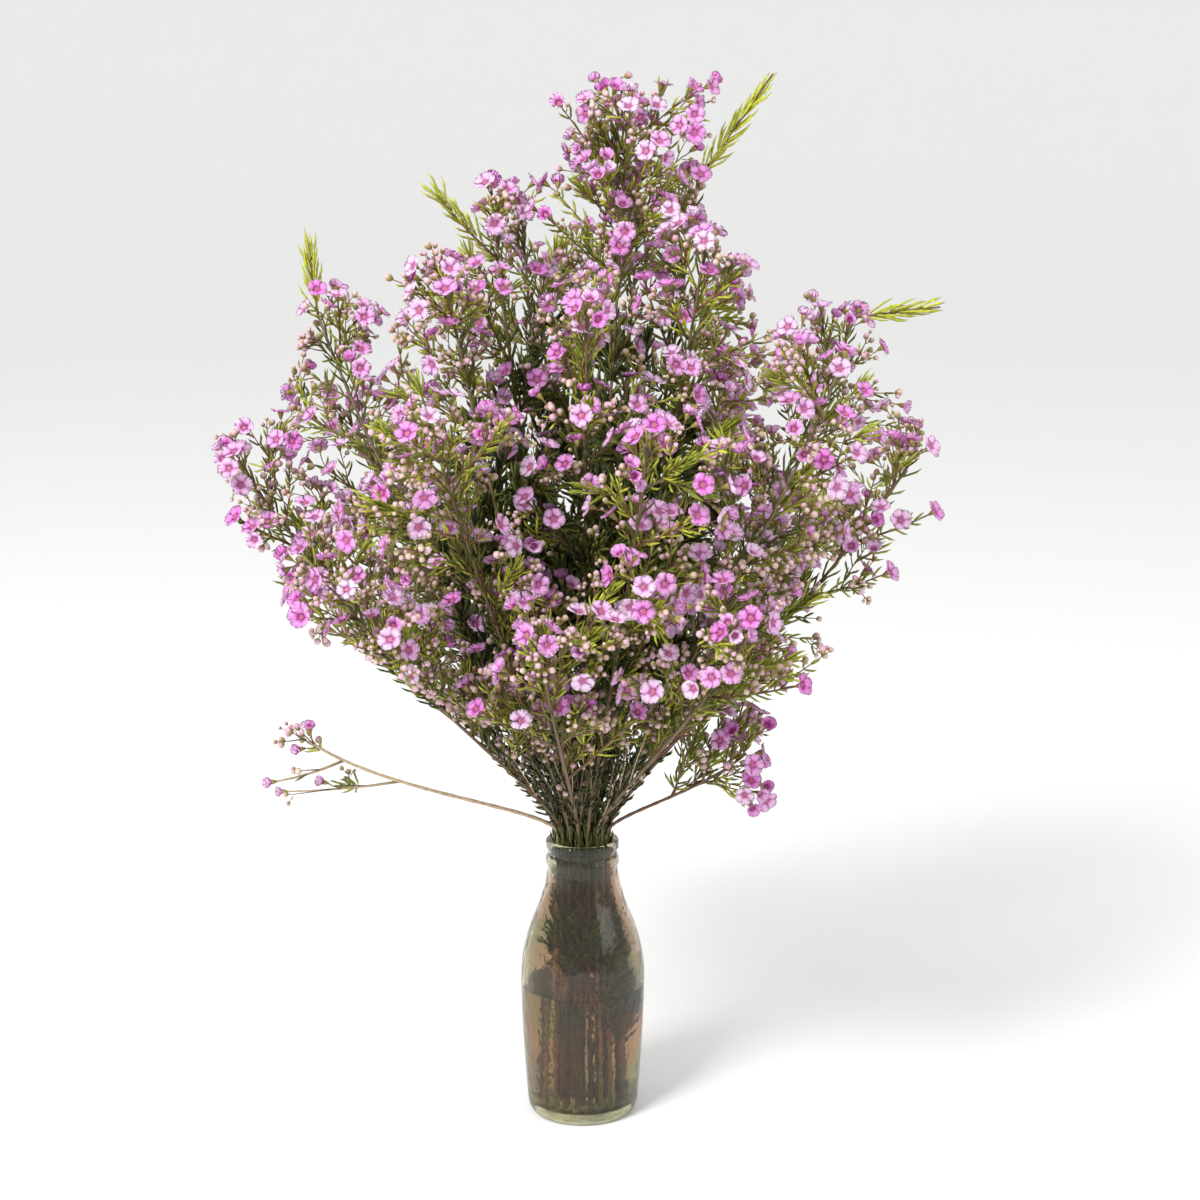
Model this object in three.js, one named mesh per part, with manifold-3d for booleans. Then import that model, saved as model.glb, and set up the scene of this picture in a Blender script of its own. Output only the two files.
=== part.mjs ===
// A bunch of waxflower standing in a wide-mouthed glass bottle half filled with water.
//
// Millimetres, +Z up. The origin is the middle of the bottle's base, and the front is towards -Y.
// The bottle and the water are turned bodies. Each flower stem is one solid, grown by a rule: a woody
// axis from its cut foot to its tip, side twigs, and on them open flowers, buds and needle leaves.
// No stem may come nearer to another than CLEARANCE, so what would is turned or left out. The draws are
// seeded, so the same plant grows every time.

import * as THREE from 'three';
import { mergeVertices } from 'three/addons/utils/BufferGeometryUtils.js';
import Module from 'manifold-3d';

const wasm = await Module();
wasm.setup();

// ---- Driving dimensions --------------------------------------------------------------------------

const BOTTLE_HEIGHT = 210;
const BASE_RADIUS = 36; // the flat that it stands on
const HEEL_HEIGHT = 13;
const FOOT_RADIUS = 41.3; // at the top of the heel
const BODY_RADIUS = 45.6; // the widest place
const BODY_HEIGHT = 95;
const NECK_RADIUS = 25.4;
const LIP_RADIUS = 26.9;
const WALL = 3.6;
const FLOOR = 8; // the inside of the base, at its edge
const FLOOR_RISE = 1; // and this much higher in the middle
const FLOOR_RADIUS = 32.5;
const BOTTLE_SIDES = 30;

const WATER_LEVEL = 98;
const SEAT_GAP = 0.3; // between pieces that touch

const NECK_LEVEL = BOTTLE_HEIGHT + 4; // up to here a stem is straight, and from here it bends outwards
const CLEARANCE = 0.5; // between one stem and the next
const SPREAD_X = 262; // nothing reaches further out than this
const SPREAD_Y = 245;
const TOP = 760;
const UNDERSIDE = 285; // nothing grows on a stem below this level, which rises away from the axis
const UNDERSIDE_RISE = 0.3;
const SPRIG_HEIGHT = 320; // stems with a lower tip than this are sprigs, which may grow below it

const AXIS_RADIUS = 1.9; // at the foot
const AXIS_TIP_RADIUS = 1.5;
const AXIS_SIDES = 4;
const AXIS_STEPS = 6;
const TWIG_RADIUS = 1;
const TWIG_SIDES = 3;
const TWIG_ANGLE = 0.68; // between a twig and its axis, in radians
const SHORTEST_TWIG = 34;
const LONGEST_TWIG = 110;
const GOLDEN_ANGLE = 2.4; // round the axis from one twig or needle to the next

const FLOWER_RADIUS = 8.5; // to the tips of the petals
const PETAL_NOTCH = 0.8; // how far in the gap between two petals comes, as a share of that radius
const CUP_DEPTH = 2.4; // the petals' tips stand this far above the flower's middle
const CALYX_RADIUS = 1.7;
const CALYX_DEPTH = 4.2;
const BUD_RADIUS = 2.9;
const NEEDLE_RADIUS = 0.5;
const ROOT_SPACING = 2.2; // between the stalks of one head
const STALK_LENGTH = 9; // from the end flower of a twig down to the next stalk
const TUFT_NEEDLES = 5;
const LEADER_NEEDLES = 9;

const SEED = 20417;

// The stems, in three rings in the neck. Each has its direction seen from above (0 is +X, 90 is the
// back), how far its tip leans out from the bottle's axis, the height of its tip, the length of bare
// stalk above the neck, its number of side twigs and, on some, the end of a leafy leader beyond its tip.
const RINGS = [
  { neckRadius: 0, stems: [[20, 34, 732, 190, 5]] },
  {
    neckRadius: 9.2,
    stems: [
      [15, 84, 684, 170, 5, [132, 10, 757]],
      [66, 100, 650, 150, 5],
      [118, 96, 672, 160, 5],
      [169, 64, 678, 160, 5],
      [221, 120, 630, 140, 5],
      [272, 118, 608, 130, 5],
      [324, 104, 648, 140, 5],
    ],
  },
  {
    neckRadius: 18.3,
    stems: [
      [355, 236, 500, 120, 6],
      [17, 206, 584, 150, 5, [257, 46, 593]],
      [38, 226, 420, 110, 4],
      [59, 224, 530, 130, 5],
      [80, 196, 420, 110, 4],
      [101, 172, 608, 150, 5],
      [122, 214, 410, 110, 4],
      [143, 226, 506, 120, 6],
      [164, 198, 586, 150, 5, [-196, 60, 629]],
      [184, 242, 492, 120, 6],
      [198, 200, 300, 130, 2],
      [222, 222, 436, 110, 4],
      [242, 206, 552, 130, 5],
      [262, 190, 404, 100, 4],
      [282, 206, 530, 130, 6],
      [301, 222, 420, 110, 4],
      [319, 222, 574, 140, 6],
      [337, 126, 288, 70, 3],
    ],
  },
];

// ---- Small tools ---------------------------------------------------------------------------------

const UP = new THREE.Vector3(0, 0, 1);
const vector = (x, y, z) => new THREE.Vector3(x, y, z);
const along = (from, direction, distance) => from.clone().addScaledVector(direction, distance);

// Park and Miller's generator: the same draws on every machine.
let state = SEED;
function draw(low = 0, high = 1) {
  state = (state * 48271) % 2147483647;
  return low + ((high - low) * state) / 2147483647;
}

// Two directions square to a given one and to each other.
function across(direction) {
  const reference = Math.abs(direction.z) < 0.8 ? UP : vector(1, 0, 0);
  const side = reference.clone().cross(direction).normalize();
  return [side, direction.clone().cross(side)];
}

// A direction that leaves another at an angle (tilt) and on one side of it (turn), in radians.
function leaving(direction, tilt, turn) {
  const [side, over] = across(direction);
  return direction
    .clone()
    .multiplyScalar(Math.cos(tilt))
    .addScaledVector(side, Math.sin(tilt) * Math.cos(turn))
    .addScaledVector(over, Math.sin(tilt) * Math.sin(turn));
}

function toSolid(geometry) {
  const bare = geometry.clone();
  bare.deleteAttribute('normal');
  bare.deleteAttribute('uv');
  const merged = mergeVertices(bare, 1e-4);
  return new wasm.Manifold(
    new wasm.Mesh({
      numProp: 3,
      vertProperties: new Float32Array(merged.getAttribute('position').array),
      triVerts: new Uint32Array(merged.index.array),
    }),
  );
}

function toGeometry(solid) {
  const mesh = solid.getMesh();
  const geometry = new THREE.BufferGeometry();
  geometry.setAttribute('position', new THREE.BufferAttribute(mesh.vertProperties, 3));
  geometry.setIndex(new THREE.BufferAttribute(mesh.triVerts, 1));
  const flat = geometry.toNonIndexed();
  flat.computeVertexNormals();
  return flat;
}

function fromPoints(points, faces) {
  const geometry = new THREE.BufferGeometry().setFromPoints(points);
  geometry.setIndex(faces.flat());
  return geometry;
}

// ---- Bottle and water ----------------------------------------------------------------------------

// The outside of the bottle from the edge of its base to the top of its lip: a rounded heel, a body
// that widens upwards, a shoulder in one S-curve, and a bead and a lip on the neck.
function outerProfile() {
  const path = new THREE.Path();
  path.moveTo(BASE_RADIUS, 0);
  path.quadraticCurveTo(FOOT_RADIUS - 0.6, 1, FOOT_RADIUS, HEEL_HEIGHT);
  path.quadraticCurveTo(BODY_RADIUS, 0.72 * BODY_HEIGHT, BODY_RADIUS, BODY_HEIGHT);
  const body = path.getPoints(3);
  const shoulder = new THREE.CubicBezierCurve(
    body.at(-1),
    new THREE.Vector2(48, 142),
    new THREE.Vector2(29, 152),
    new THREE.Vector2(NECK_RADIUS + 0.2, 190),
  ).getPoints(6);
  return [
    ...body,
    ...shoulder.slice(1),
    new THREE.Vector2(NECK_RADIUS + 1.2, 194),
    new THREE.Vector2(NECK_RADIUS, 198),
    new THREE.Vector2(NECK_RADIUS, 201),
    new THREE.Vector2(LIP_RADIUS, 204),
    new THREE.Vector2(LIP_RADIUS, 208),
    new THREE.Vector2(LIP_RADIUS - 1.4, BOTTLE_HEIGHT),
  ];
}

// The radius of the inside wall at a height.
function innerRadius(height) {
  const outside = outerProfile();
  const above = outside.findIndex((p) => p.y >= height);
  const [low, high] = [outside[above - 1], outside[above]];
  const share = (height - low.y) / (high.y - low.y);
  return THREE.MathUtils.lerp(low.x, high.x, share) - WALL;
}

const INNER_NECK = NECK_RADIUS - WALL;
const INSIDE_LEVELS = [16, 60, 98, 126, 146, 180];
const innerRim = (height) => Math.max(INNER_NECK, innerRadius(height));

function bottle() {
  const profile = [
    new THREE.Vector2(0, 0),
    ...outerProfile(),
    new THREE.Vector2(INNER_NECK + 0.8, BOTTLE_HEIGHT),
    new THREE.Vector2(INNER_NECK, BOTTLE_HEIGHT - 2),
    ...[...INSIDE_LEVELS].reverse().map((z) => new THREE.Vector2(innerRim(z), z)),
    new THREE.Vector2(FLOOR_RADIUS, FLOOR),
    new THREE.Vector2(0, FLOOR + FLOOR_RISE),
  ];
  return new THREE.LatheGeometry(profile, BOTTLE_SIDES).rotateX(Math.PI / 2);
}

// The water fills the bottle to its level, a hair's breadth clear of the glass.
function water() {
  const wet = INSIDE_LEVELS.filter((z) => z < WATER_LEVEL);
  const profile = [
    new THREE.Vector2(0, FLOOR + FLOOR_RISE + SEAT_GAP),
    new THREE.Vector2(FLOOR_RADIUS - SEAT_GAP, FLOOR + SEAT_GAP),
    ...wet.map((z) => new THREE.Vector2(innerRim(z) - SEAT_GAP, z + SEAT_GAP)),
    new THREE.Vector2(innerRim(WATER_LEVEL) - SEAT_GAP, WATER_LEVEL),
    new THREE.Vector2(0, WATER_LEVEL),
  ];
  return new THREE.LatheGeometry(profile, BOTTLE_SIDES).rotateX(Math.PI / 2);
}

// ---- How the stems grow --------------------------------------------------------------------------

// Everything placed so far, each a straight stretch with a radius and the number of its stem.
const placed = [];

// The shortest distance between two straight stretches.
function distanceBetween(a, b, c, d) {
  const first = b.clone().sub(a);
  const second = d.clone().sub(c);
  const offset = a.clone().sub(c);
  const aa = first.dot(first);
  const bb = second.dot(second);
  const ab = first.dot(second);
  const ao = first.dot(offset);
  const bo = second.dot(offset);
  const spread = aa * bb - ab * ab;
  const clamp = (value) => Math.min(1, Math.max(0, value));
  let s = spread > 1e-6 ? clamp((ab * bo - ao * bb) / spread) : 0;
  let t = (ab * s + bo) / bb;
  if (t < 0) {
    t = 0;
    s = clamp(-ao / aa);
  } else if (t > 1) {
    t = 1;
    s = clamp((ab - ao) / aa);
  }
  return along(a, first, s).distanceTo(along(c, second, t));
}

function inside(point, radius, stem) {
  const underside = stems[stem].sprig
    ? BOTTLE_HEIGHT + 8
    : UNDERSIDE + UNDERSIDE_RISE * Math.hypot(point.x, point.y);
  return (
    Math.abs(point.x) + radius < SPREAD_X &&
    Math.abs(point.y) + radius < SPREAD_Y &&
    point.z + radius < TOP &&
    point.z - radius > underside
  );
}

// Whether a straight stretch is clear of every other stem, and of its own stem's flowers, buds and needles.
function isClear(from, to, radius, stem, ownShare = 1) {
  if (!inside(to, radius, stem)) return false;
  return placed.every((other) => {
    if (other.stem === stem && other.kind === 'wood') return true;
    const reach = radius + other.radius;
    const least = other.stem === stem ? ownShare * reach : reach + CLEARANCE;
    return distanceBetween(from, to, other.from, other.to) > least;
  });
}

function place(kind, from, to, radius, stem) {
  placed.push({ kind, from, to, radius, stem });
}

// A stem stands on the bottle's floor, is straight up to the neck and then bends out to its tip.
function axisOf(azimuth, lean, height, neckRadius) {
  const turn = THREE.MathUtils.degToRad(azimuth);
  const at = (radius, z) => vector(radius * Math.cos(turn), radius * Math.sin(turn), z);
  const footRadius = 1.25 * neckRadius;
  const floor = FLOOR + FLOOR_RISE * (1 - (footRadius - AXIS_RADIUS) / FLOOR_RADIUS);
  const foot = at(footRadius, floor + SEAT_GAP);
  const neck = at(neckRadius, NECK_LEVEL);
  const tip = at(lean, height);
  const chord = tip.clone().sub(neck);
  const reach = chord.length();
  const leave = neck.clone().sub(foot).normalize();
  const arrive = chord.clone().normalize().addScaledVector(UP, 0.3).normalize();
  const bend = new THREE.CubicBezierCurve3(
    neck,
    along(neck, leave, 0.06 * reach + 8),
    along(tip, arrive, -0.36 * reach),
    tip,
  );
  return { foot, neck, bend, reach };
}

const stems = [];
for (const ring of RINGS) {
  for (const [azimuth, lean, height, bare, twigs, leader] of ring.stems) {
    const number = stems.length;
    const axis = axisOf(azimuth, lean, height, ring.neckRadius);
    const stem = { number, axis, bare, twigs, leader, sprig: height < SPRIG_HEIGHT };
    stems.push({ ...stem, twigList: [], flowers: [], buds: [], needles: [] });
    const points = axis.bend.getPoints(AXIS_STEPS);
    points.slice(1).forEach((to, i) => place('wood', points[i], to, AXIS_RADIUS, number));
  }
}

// An open flower on its stalk: root on the twig, middle of the cup, and the way that it faces. A flower
// that ends a twig has the twig as its stalk, so its root is as thick as a twig.
function addFlower(stem, root, middle, direction, rootRadius = 0) {
  const size = FLOWER_RADIUS * draw(0.9, 1.05);
  const spin = draw(0, 2 * Math.PI);
  const rim = along(middle, direction, CUP_DEPTH);
  if (!isClear(middle, rim, size, stem.number, 0.86)) return false;
  if (!isClear(root.clone().lerp(middle, 0.3), middle, CALYX_RADIUS, stem.number)) return false;
  place('bloom', middle, rim, size, stem.number);
  place('wood', root, middle, CALYX_RADIUS, stem.number);
  stem.flowers.push({ root, middle, direction, size, spin, rootRadius });
  return true;
}

function addBud(stem, root, direction, stalkLength) {
  const size = BUD_RADIUS * draw(0.8, 1.1);
  const top = along(root, direction, stalkLength);
  const middle = along(top, direction, -size);
  if (!isClear(along(root, direction, 3), top, size, stem.number)) return false;
  place('bloom', middle, top, size, stem.number);
  place('wood', root, middle, 1, stem.number);
  stem.buds.push({ root, middle, direction, size });
  return true;
}

function addNeedle(stem, root, direction, length) {
  const tip = along(root, direction, length);
  if (!isClear(along(root, direction, 3), tip, NEEDLE_RADIUS, stem.number)) return;
  place('bloom', along(root, direction, 4), tip, NEEDLE_RADIUS, stem.number);
  stem.needles.push({ root, tip, direction });
}

// Try a few directions round a twig until something that grows from it is clear of the rest.
function tryRound(way, tilt, firstTurn, grow) {
  for (let attempt = 0; attempt < 5; attempt++) {
    if (grow(leaving(way, tilt, firstTurn + 1.1 * attempt))) return;
  }
}

// The flowers and buds of a head, on stalks that leave the twig one below another.
function addHead(stem, end, way, flowers, buds) {
  const start = draw(0, 2 * Math.PI);
  const stalks = flowers + buds;
  for (let i = 0; i < stalks; i++) {
    const root = along(end, way, -ROOT_SPACING * (i + 1));
    const length = draw(12, 14);
    tryRound(way, draw(0.65, 0.95), start + (2 * Math.PI * i) / stalks, (direction) =>
      i < flowers
        ? addFlower(stem, root, along(root, direction, length), direction)
        : addBud(stem, root, direction, length - 3),
    );
  }
}

// A leafy tip: needles that leave the end of a twig one below another, the lowest spread the most.
function addTuft(stem, end, way) {
  const start = draw(0, 2 * Math.PI);
  for (let i = 0; i < TUFT_NEEDLES; i++) {
    const root = along(end, way, -1 - 1.5 * i);
    addNeedle(stem, root, leaving(way, 0.15 + 0.12 * i, start + GOLDEN_ANGLE * i), draw(19, 27));
  }
}

// One side twig from the axis. It leaves at an angle, and is turned until it is clear of other stems.
function addTwig(stem, index) {
  const { axis, bare, twigs } = stem;
  const first = bare / axis.reach;
  const share = first + ((1 - first) * (index + 0.3)) / twigs;
  const start = axis.bend.getPoint(share);
  const heading = axis.bend.getTangent(share);
  const reach = THREE.MathUtils.lerp(SHORTEST_TWIG, LONGEST_TWIG, Math.sqrt(1 - share));
  const fullLength = reach * draw(0.85, 1.15);
  const firstTurn = draw(0, 2 * Math.PI);
  for (let attempt = 0; attempt < 9; attempt++) {
    const turn = firstTurn + GOLDEN_ANGLE * index + 0.7 * attempt;
    const length = fullLength * (1 - 0.06 * attempt);
    const way = leaving(heading, TWIG_ANGLE, turn);
    const end = along(start, way, length);
    if (!isClear(start, end, TWIG_RADIUS + 1, stem.number)) continue;
    if (!isClear(end, along(end, way, 2), 7, stem.number)) continue;
    place('wood', start, end, TWIG_RADIUS, stem.number);
    stem.twigList.push({ start, end, way, heading });
    return;
  }
}

// What a twig carries: it ends in a leafy tip or in a flower with others round it, and below that it
// has a flower, a bud or a needle on its own.
function dressTwig(stem, twig, index) {
  const { start, end, way, heading } = twig;
  const facing = way.clone().addScaledVector(heading, 0.35).normalize();
  twig.leafy = (stem.number + 2 * index) % 9 === 4 || !addFlower(stem, start, end, facing, TWIG_RADIUS);
  if (twig.leafy) addTuft(stem, end, way);
  else addHead(stem, along(end, way, -STALK_LENGTH), way, index % 2 === 0 ? 2 : 1, index % 2);
  const root = start.clone().lerp(end, draw(0.45, 0.65));
  const turn = draw(0, 2 * Math.PI);
  if (index % 3 === 0) addNeedle(stem, root, leaving(way, 0.6, turn), draw(17, 26));
  else {
    tryRound(way, 0.75, turn, (aside) => addFlower(stem, root, along(root, aside, 13.5), aside));
  }
}

// A leader: a leafy shoot from the end of the axis, with needles all along it.
function addLeader(stem, tip) {
  const end = vector(...stem.leader);
  const way = end.clone().sub(tip).normalize();
  const start = along(tip, way, -1);
  place('wood', start, end, TWIG_RADIUS, stem.number);
  stem.twigList.push({ start, end, way, leafy: true });
  const length = end.distanceTo(start);
  for (let i = 0; i < LEADER_NEEDLES; i++) {
    const root = along(end, way, -1 - (length - 8) * (i / LEADER_NEEDLES));
    addNeedle(stem, root, leaving(way, 0.38, GOLDEN_ANGLE * i), draw(19, 25));
  }
}

const mostTwigs = Math.max(...stems.map((stem) => stem.twigs));
for (let index = 0; index < mostTwigs; index++) {
  for (const stem of stems) {
    if (index < stem.twigs) addTwig(stem, stem.twigs - 1 - index);
  }
}
for (const stem of stems) {
  const tip = stem.axis.bend.getPoint(1);
  const heading = stem.axis.bend.getTangent(1);
  stem.twigList.forEach((twig, index) => dressTwig(stem, twig, index));
  if (stem.leader) addLeader(stem, tip);
  addHead(stem, tip, heading, 3, 1);
}

// ---- The stems' solids ---------------------------------------------------------------------------

// A stalk along a list of points: a cylinder whose rings are moved onto them and thinned towards the end.
function stalk(points, sides, startRadius, endRadius) {
  const steps = points.length - 1;
  const geometry = new THREE.CylinderGeometry(1, 1, 1, sides, steps);
  const position = geometry.getAttribute('position');
  const overall = points[steps].clone().sub(points[0]).normalize();
  const [side] = across(overall);
  const local = new THREE.Vector3();
  for (let i = 0; i < position.count; i++) {
    local.fromBufferAttribute(position, i);
    const step = Math.round((local.y + 0.5) * steps);
    const before = points[Math.max(0, step - 1)];
    const after = points[Math.min(steps, step + 1)];
    const tangent = after.clone().sub(before).normalize();
    const right = side.clone().addScaledVector(tangent, -side.dot(tangent)).normalize();
    const over = right.clone().cross(tangent);
    const radius = THREE.MathUtils.lerp(startRadius, endRadius, step / steps);
    const moved = points[step].clone();
    moved.addScaledVector(right, radius * local.x).addScaledVector(over, radius * local.z);
    position.setXYZ(i, moved.x, moved.y, moved.z);
  }
  return geometry;
}

const PETAL_POINTS = 10; // five petal tips and five notches
const CALYX_POINTS = 3;

// An open flower: a cup of five petals over a small calyx that narrows to a stalk. The stalk ends in a
// point inside the twig or, when it is the twig itself, in a small triangle inside the axis.
function flowerGeometry({ root, middle, direction, size, spin, rootRadius }) {
  const [side, over] = across(direction);
  const ring = (centre, radius, height, count) =>
    Array.from({ length: count }, (_, index) => {
      const turn = spin + (2 * Math.PI * index) / count;
      return along(centre, direction, height)
        .addScaledVector(side, radius * Math.cos(turn))
        .addScaledVector(over, radius * Math.sin(turn));
    });
  const tips = ring(middle, size, CUP_DEPTH, PETAL_POINTS);
  const notches = ring(middle, size * PETAL_NOTCH, 0.7 * CUP_DEPTH, PETAL_POINTS);
  const rim = tips.map((tip, index) => (index % 2 === 0 ? tip : notches[index]));
  const calyx = ring(middle, CALYX_RADIUS, -CALYX_DEPTH, CALYX_POINTS);
  const foot = rootRadius > 0 ? ring(root, rootRadius, 0, CALYX_POINTS) : [root];
  const points = [...rim, ...calyx, middle, ...foot];
  const centre = PETAL_POINTS + CALYX_POINTS;
  const faces = [];
  const calyxNear = (edge) =>
    PETAL_POINTS + (Math.round(((edge + 0.5) * CALYX_POINTS) / PETAL_POINTS) % CALYX_POINTS);
  for (let i = 0; i < PETAL_POINTS; i++) {
    const next = (i + 1) % PETAL_POINTS;
    const below = calyxNear(i);
    const belowNext = calyxNear(i + 1);
    faces.push([centre, i, next], [next, i, below]);
    if (below !== belowNext) faces.push([next, below, belowNext]);
  }
  for (let i = 0; i < CALYX_POINTS; i++) {
    const next = (i + 1) % CALYX_POINTS;
    const under = rootRadius > 0 ? centre + 1 + i : centre + 1;
    faces.push([PETAL_POINTS + i, under, PETAL_POINTS + next]);
    if (rootRadius > 0) faces.push([PETAL_POINTS + next, under, centre + 1 + next]);
  }
  if (rootRadius > 0) faces.push([centre + 1, centre + 3, centre + 2]);
  return fromPoints(points, faces);
}

const BUD_SIDES = 4;

// A bud: widest at its middle, blunt above and narrowing to its stalk below.
function budGeometry({ root, middle, direction, size }) {
  const [side, over] = across(direction);
  const points = [];
  for (let i = 0; i < BUD_SIDES; i++) {
    const turn = (2 * Math.PI * i) / BUD_SIDES;
    points.push(
      middle
        .clone()
        .addScaledVector(side, size * Math.cos(turn))
        .addScaledVector(over, size * Math.sin(turn)),
    );
  }
  const top = points.push(along(middle, direction, size)) - 1;
  const foot = points.push(root) - 1;
  const faces = [];
  for (let i = 0; i < BUD_SIDES; i++) {
    const next = (i + 1) % BUD_SIDES;
    faces.push([top, i, next], [foot, next, i]);
  }
  return fromPoints(points, faces);
}

// A needle leaf: a three-sided spike whose blunt end is in the twig.
function needleGeometry({ root, tip, direction }) {
  const [side, over] = across(direction);
  const points = [0, 1, 2].map((i) => {
    const turn = (2 * Math.PI * i) / 3;
    return root
      .clone()
      .addScaledVector(side, NEEDLE_RADIUS * Math.cos(turn))
      .addScaledVector(over, NEEDLE_RADIUS * Math.sin(turn));
  });
  points.push(tip);
  return fromPoints(points, [
    [0, 2, 1],
    [3, 0, 1],
    [3, 1, 2],
    [3, 2, 0],
  ]);
}

function stemSolid(stem) {
  const { foot, bend } = stem.axis;
  const axisPoints = [foot, ...bend.getPoints(AXIS_STEPS)];
  const leafyTwigs = stem.twigList.filter((twig) => twig.leafy);
  const pieces = [
    stalk(axisPoints, AXIS_SIDES, AXIS_RADIUS, AXIS_TIP_RADIUS),
    ...leafyTwigs.map(({ start, end }) => stalk([start, end], TWIG_SIDES, TWIG_RADIUS, TWIG_RADIUS)),
    ...stem.flowers.map(flowerGeometry),
    ...stem.buds.map(budGeometry),
    ...stem.needles.map(needleGeometry),
  ];
  return wasm.Manifold.union(pieces.map(toSolid));
}

// The hole that a stem stands in: wider than the stem by the gap, and right through to the floor.
function holeInWater({ axis }) {
  const down = axis.foot.clone().sub(axis.neck).normalize();
  const radius = AXIS_RADIUS + SEAT_GAP / Math.cos(Math.PI / AXIS_SIDES);
  return toSolid(stalk([along(axis.foot, down, 2), axis.neck], AXIS_SIDES, radius, radius));
}

// ---- Materials and the model ---------------------------------------------------------------------

const glass = new THREE.MeshStandardMaterial({
  name: 'glass',
  color: 0xc9cdbf,
  roughness: 0.05,
  metalness: 0,
  transparent: true,
  opacity: 0.35,
});
const waterMaterial = new THREE.MeshStandardMaterial({
  name: 'water',
  color: 0xb9c2b4,
  roughness: 0.02,
  metalness: 0,
  transparent: true,
  opacity: 0.4,
});
const flowering = new THREE.MeshStandardMaterial({
  name: 'flowering_stem',
  color: 0xd07cc4,
  roughness: 0.6,
  metalness: 0,
});

function namedMesh(name, geometry, material) {
  const mesh = new THREE.Mesh(geometry, material);
  mesh.name = name;
  return mesh;
}

const model = new THREE.Group();
model.add(namedMesh('bottle', bottle(), glass));
const waterSolid = stems.reduce(
  (body, stem) => body.subtract(holeInWater(stem)),
  toSolid(water()),
);
model.add(namedMesh('water', toGeometry(waterSolid), waterMaterial));
stems.forEach((stem, index) => {
  const name = 'stem_' + String(index + 1).padStart(2, '0');
  model.add(namedMesh(name, toGeometry(stemSolid(stem)), flowering));
});

export default model;
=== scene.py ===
"""A bunch of waxflower standing in a glass bottle half filled with water.

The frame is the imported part's: +Z up, the origin in the middle of the bottle's base and the front towards
-Y. Shapes are worked out in millimetres, and are stored in metres.
"""

import math

import bpy
import numpy as np
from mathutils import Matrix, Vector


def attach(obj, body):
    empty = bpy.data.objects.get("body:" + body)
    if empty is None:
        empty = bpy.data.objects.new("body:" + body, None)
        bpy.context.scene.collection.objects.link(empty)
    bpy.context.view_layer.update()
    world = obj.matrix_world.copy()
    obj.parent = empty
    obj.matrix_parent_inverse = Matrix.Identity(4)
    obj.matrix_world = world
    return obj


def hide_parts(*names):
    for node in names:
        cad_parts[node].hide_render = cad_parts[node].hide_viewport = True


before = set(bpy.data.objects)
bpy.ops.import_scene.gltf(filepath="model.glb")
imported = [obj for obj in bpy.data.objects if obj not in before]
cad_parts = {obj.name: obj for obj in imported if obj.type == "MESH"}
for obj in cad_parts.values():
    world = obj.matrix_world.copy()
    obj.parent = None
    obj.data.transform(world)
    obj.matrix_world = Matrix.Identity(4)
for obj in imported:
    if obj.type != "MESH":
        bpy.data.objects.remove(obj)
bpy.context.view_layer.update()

# ---- The glass bottle ----------------------------------------------------------------------------
# A wide-mouthed milk bottle, pressed in one piece from clear glass with a faint smoky tint: a rounded
# heel, a body that widens upwards, a long shoulder, and a bead and a rounded lip on the neck.

MILLIMETRE = 0.001
FULL_TURN = 2 * math.pi
BASE_RADIUS = 36.0
HEEL_HEIGHT = 13.0
FOOT_RADIUS = 41.3
BODY_RADIUS = 45.6
BODY_HEIGHT = 95.0
NECK_RADIUS = 25.4
BEAD_HEIGHT = 190.0
COLLAR_HEIGHT = 204.0
LIP_RADIUS = 26.9
LIP_HEIGHT = 207.4  # its top is rounded over from here
BOTTLE_HEIGHT = 210.0
WALL = 3.6
FLOOR = 8.0  # the inside of the base, at its edge
FLOOR_RISE = 1.0
FLOOR_RADIUS = 32.5
CORNER_HEIGHT = 16.0  # where the inside wall turns in to the floor
PUSH_UP = 1.4  # the hollow under the base
BOTTLE_SIDES = 96
INNER_NECK = NECK_RADIUS - WALL
# The glass's colour by height: the thick base's own green, then brown, a painted reflection of brown
# surroundings.
GLASS_TINTS_AND_PAINTED_REFLECTION = [
    (0.0, (0.76, 0.74, 0.42)),
    (0.07, (0.84, 0.8, 0.48)),
    (0.11, (0.64, 0.46, 0.33)),
    (0.5, (0.64, 0.44, 0.32)),
    (1.0, (0.6, 0.46, 0.35)),
]


def bezier(control, count):
    """Points along a Bezier curve: neighbouring control points are blended until one point is left."""
    share = np.linspace(0, 1, count)[:, None]
    points = [np.broadcast_to(point, (count, len(point))) for point in np.asarray(control, float)]
    while len(points) > 1:
        points = [before + (after - before) * share for before, after in zip(points, points[1:])]
    return points[0]


def bottle_outside():
    """The outside as (radius, height), upwards: one Bezier curve each for heel, body, shoulder and bead."""
    heel = bezier([(BASE_RADIUS, 0), (FOOT_RADIUS - 0.6, 1), (FOOT_RADIUS, HEEL_HEIGHT)], 9)
    belly = (BODY_RADIUS, 0.72 * BODY_HEIGHT)
    body = bezier([(FOOT_RADIUS, HEEL_HEIGHT), belly, (BODY_RADIUS, BODY_HEIGHT)], 12)
    throat = (NECK_RADIUS + 0.2, BEAD_HEIGHT)
    shoulder = bezier([(BODY_RADIUS, BODY_HEIGHT), (48, 142), (29, 152), throat], 26)
    bead = bezier([throat, (27.6, 192), (27.4, 196), (NECK_RADIUS, 198)], 8)
    collar = bezier([(NECK_RADIUS, 201), (NECK_RADIUS + 0.1, 203.4), (LIP_RADIUS, COLLAR_HEIGHT)], 5)
    return np.vstack([heel, body[1:], shoulder[1:], bead[1:], collar])


outside = bottle_outside()


def inner_radius(height):
    """The inside wall: the outside less the wall's thickness, and nowhere narrower than the neck."""
    return np.maximum(INNER_NECK, np.interp(height, outside[:, 1], outside[:, 0]) - WALL)


def turns(count):
    """Even turns all the way round, in radians."""
    return FULL_TURN * np.arange(count) / count


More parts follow.
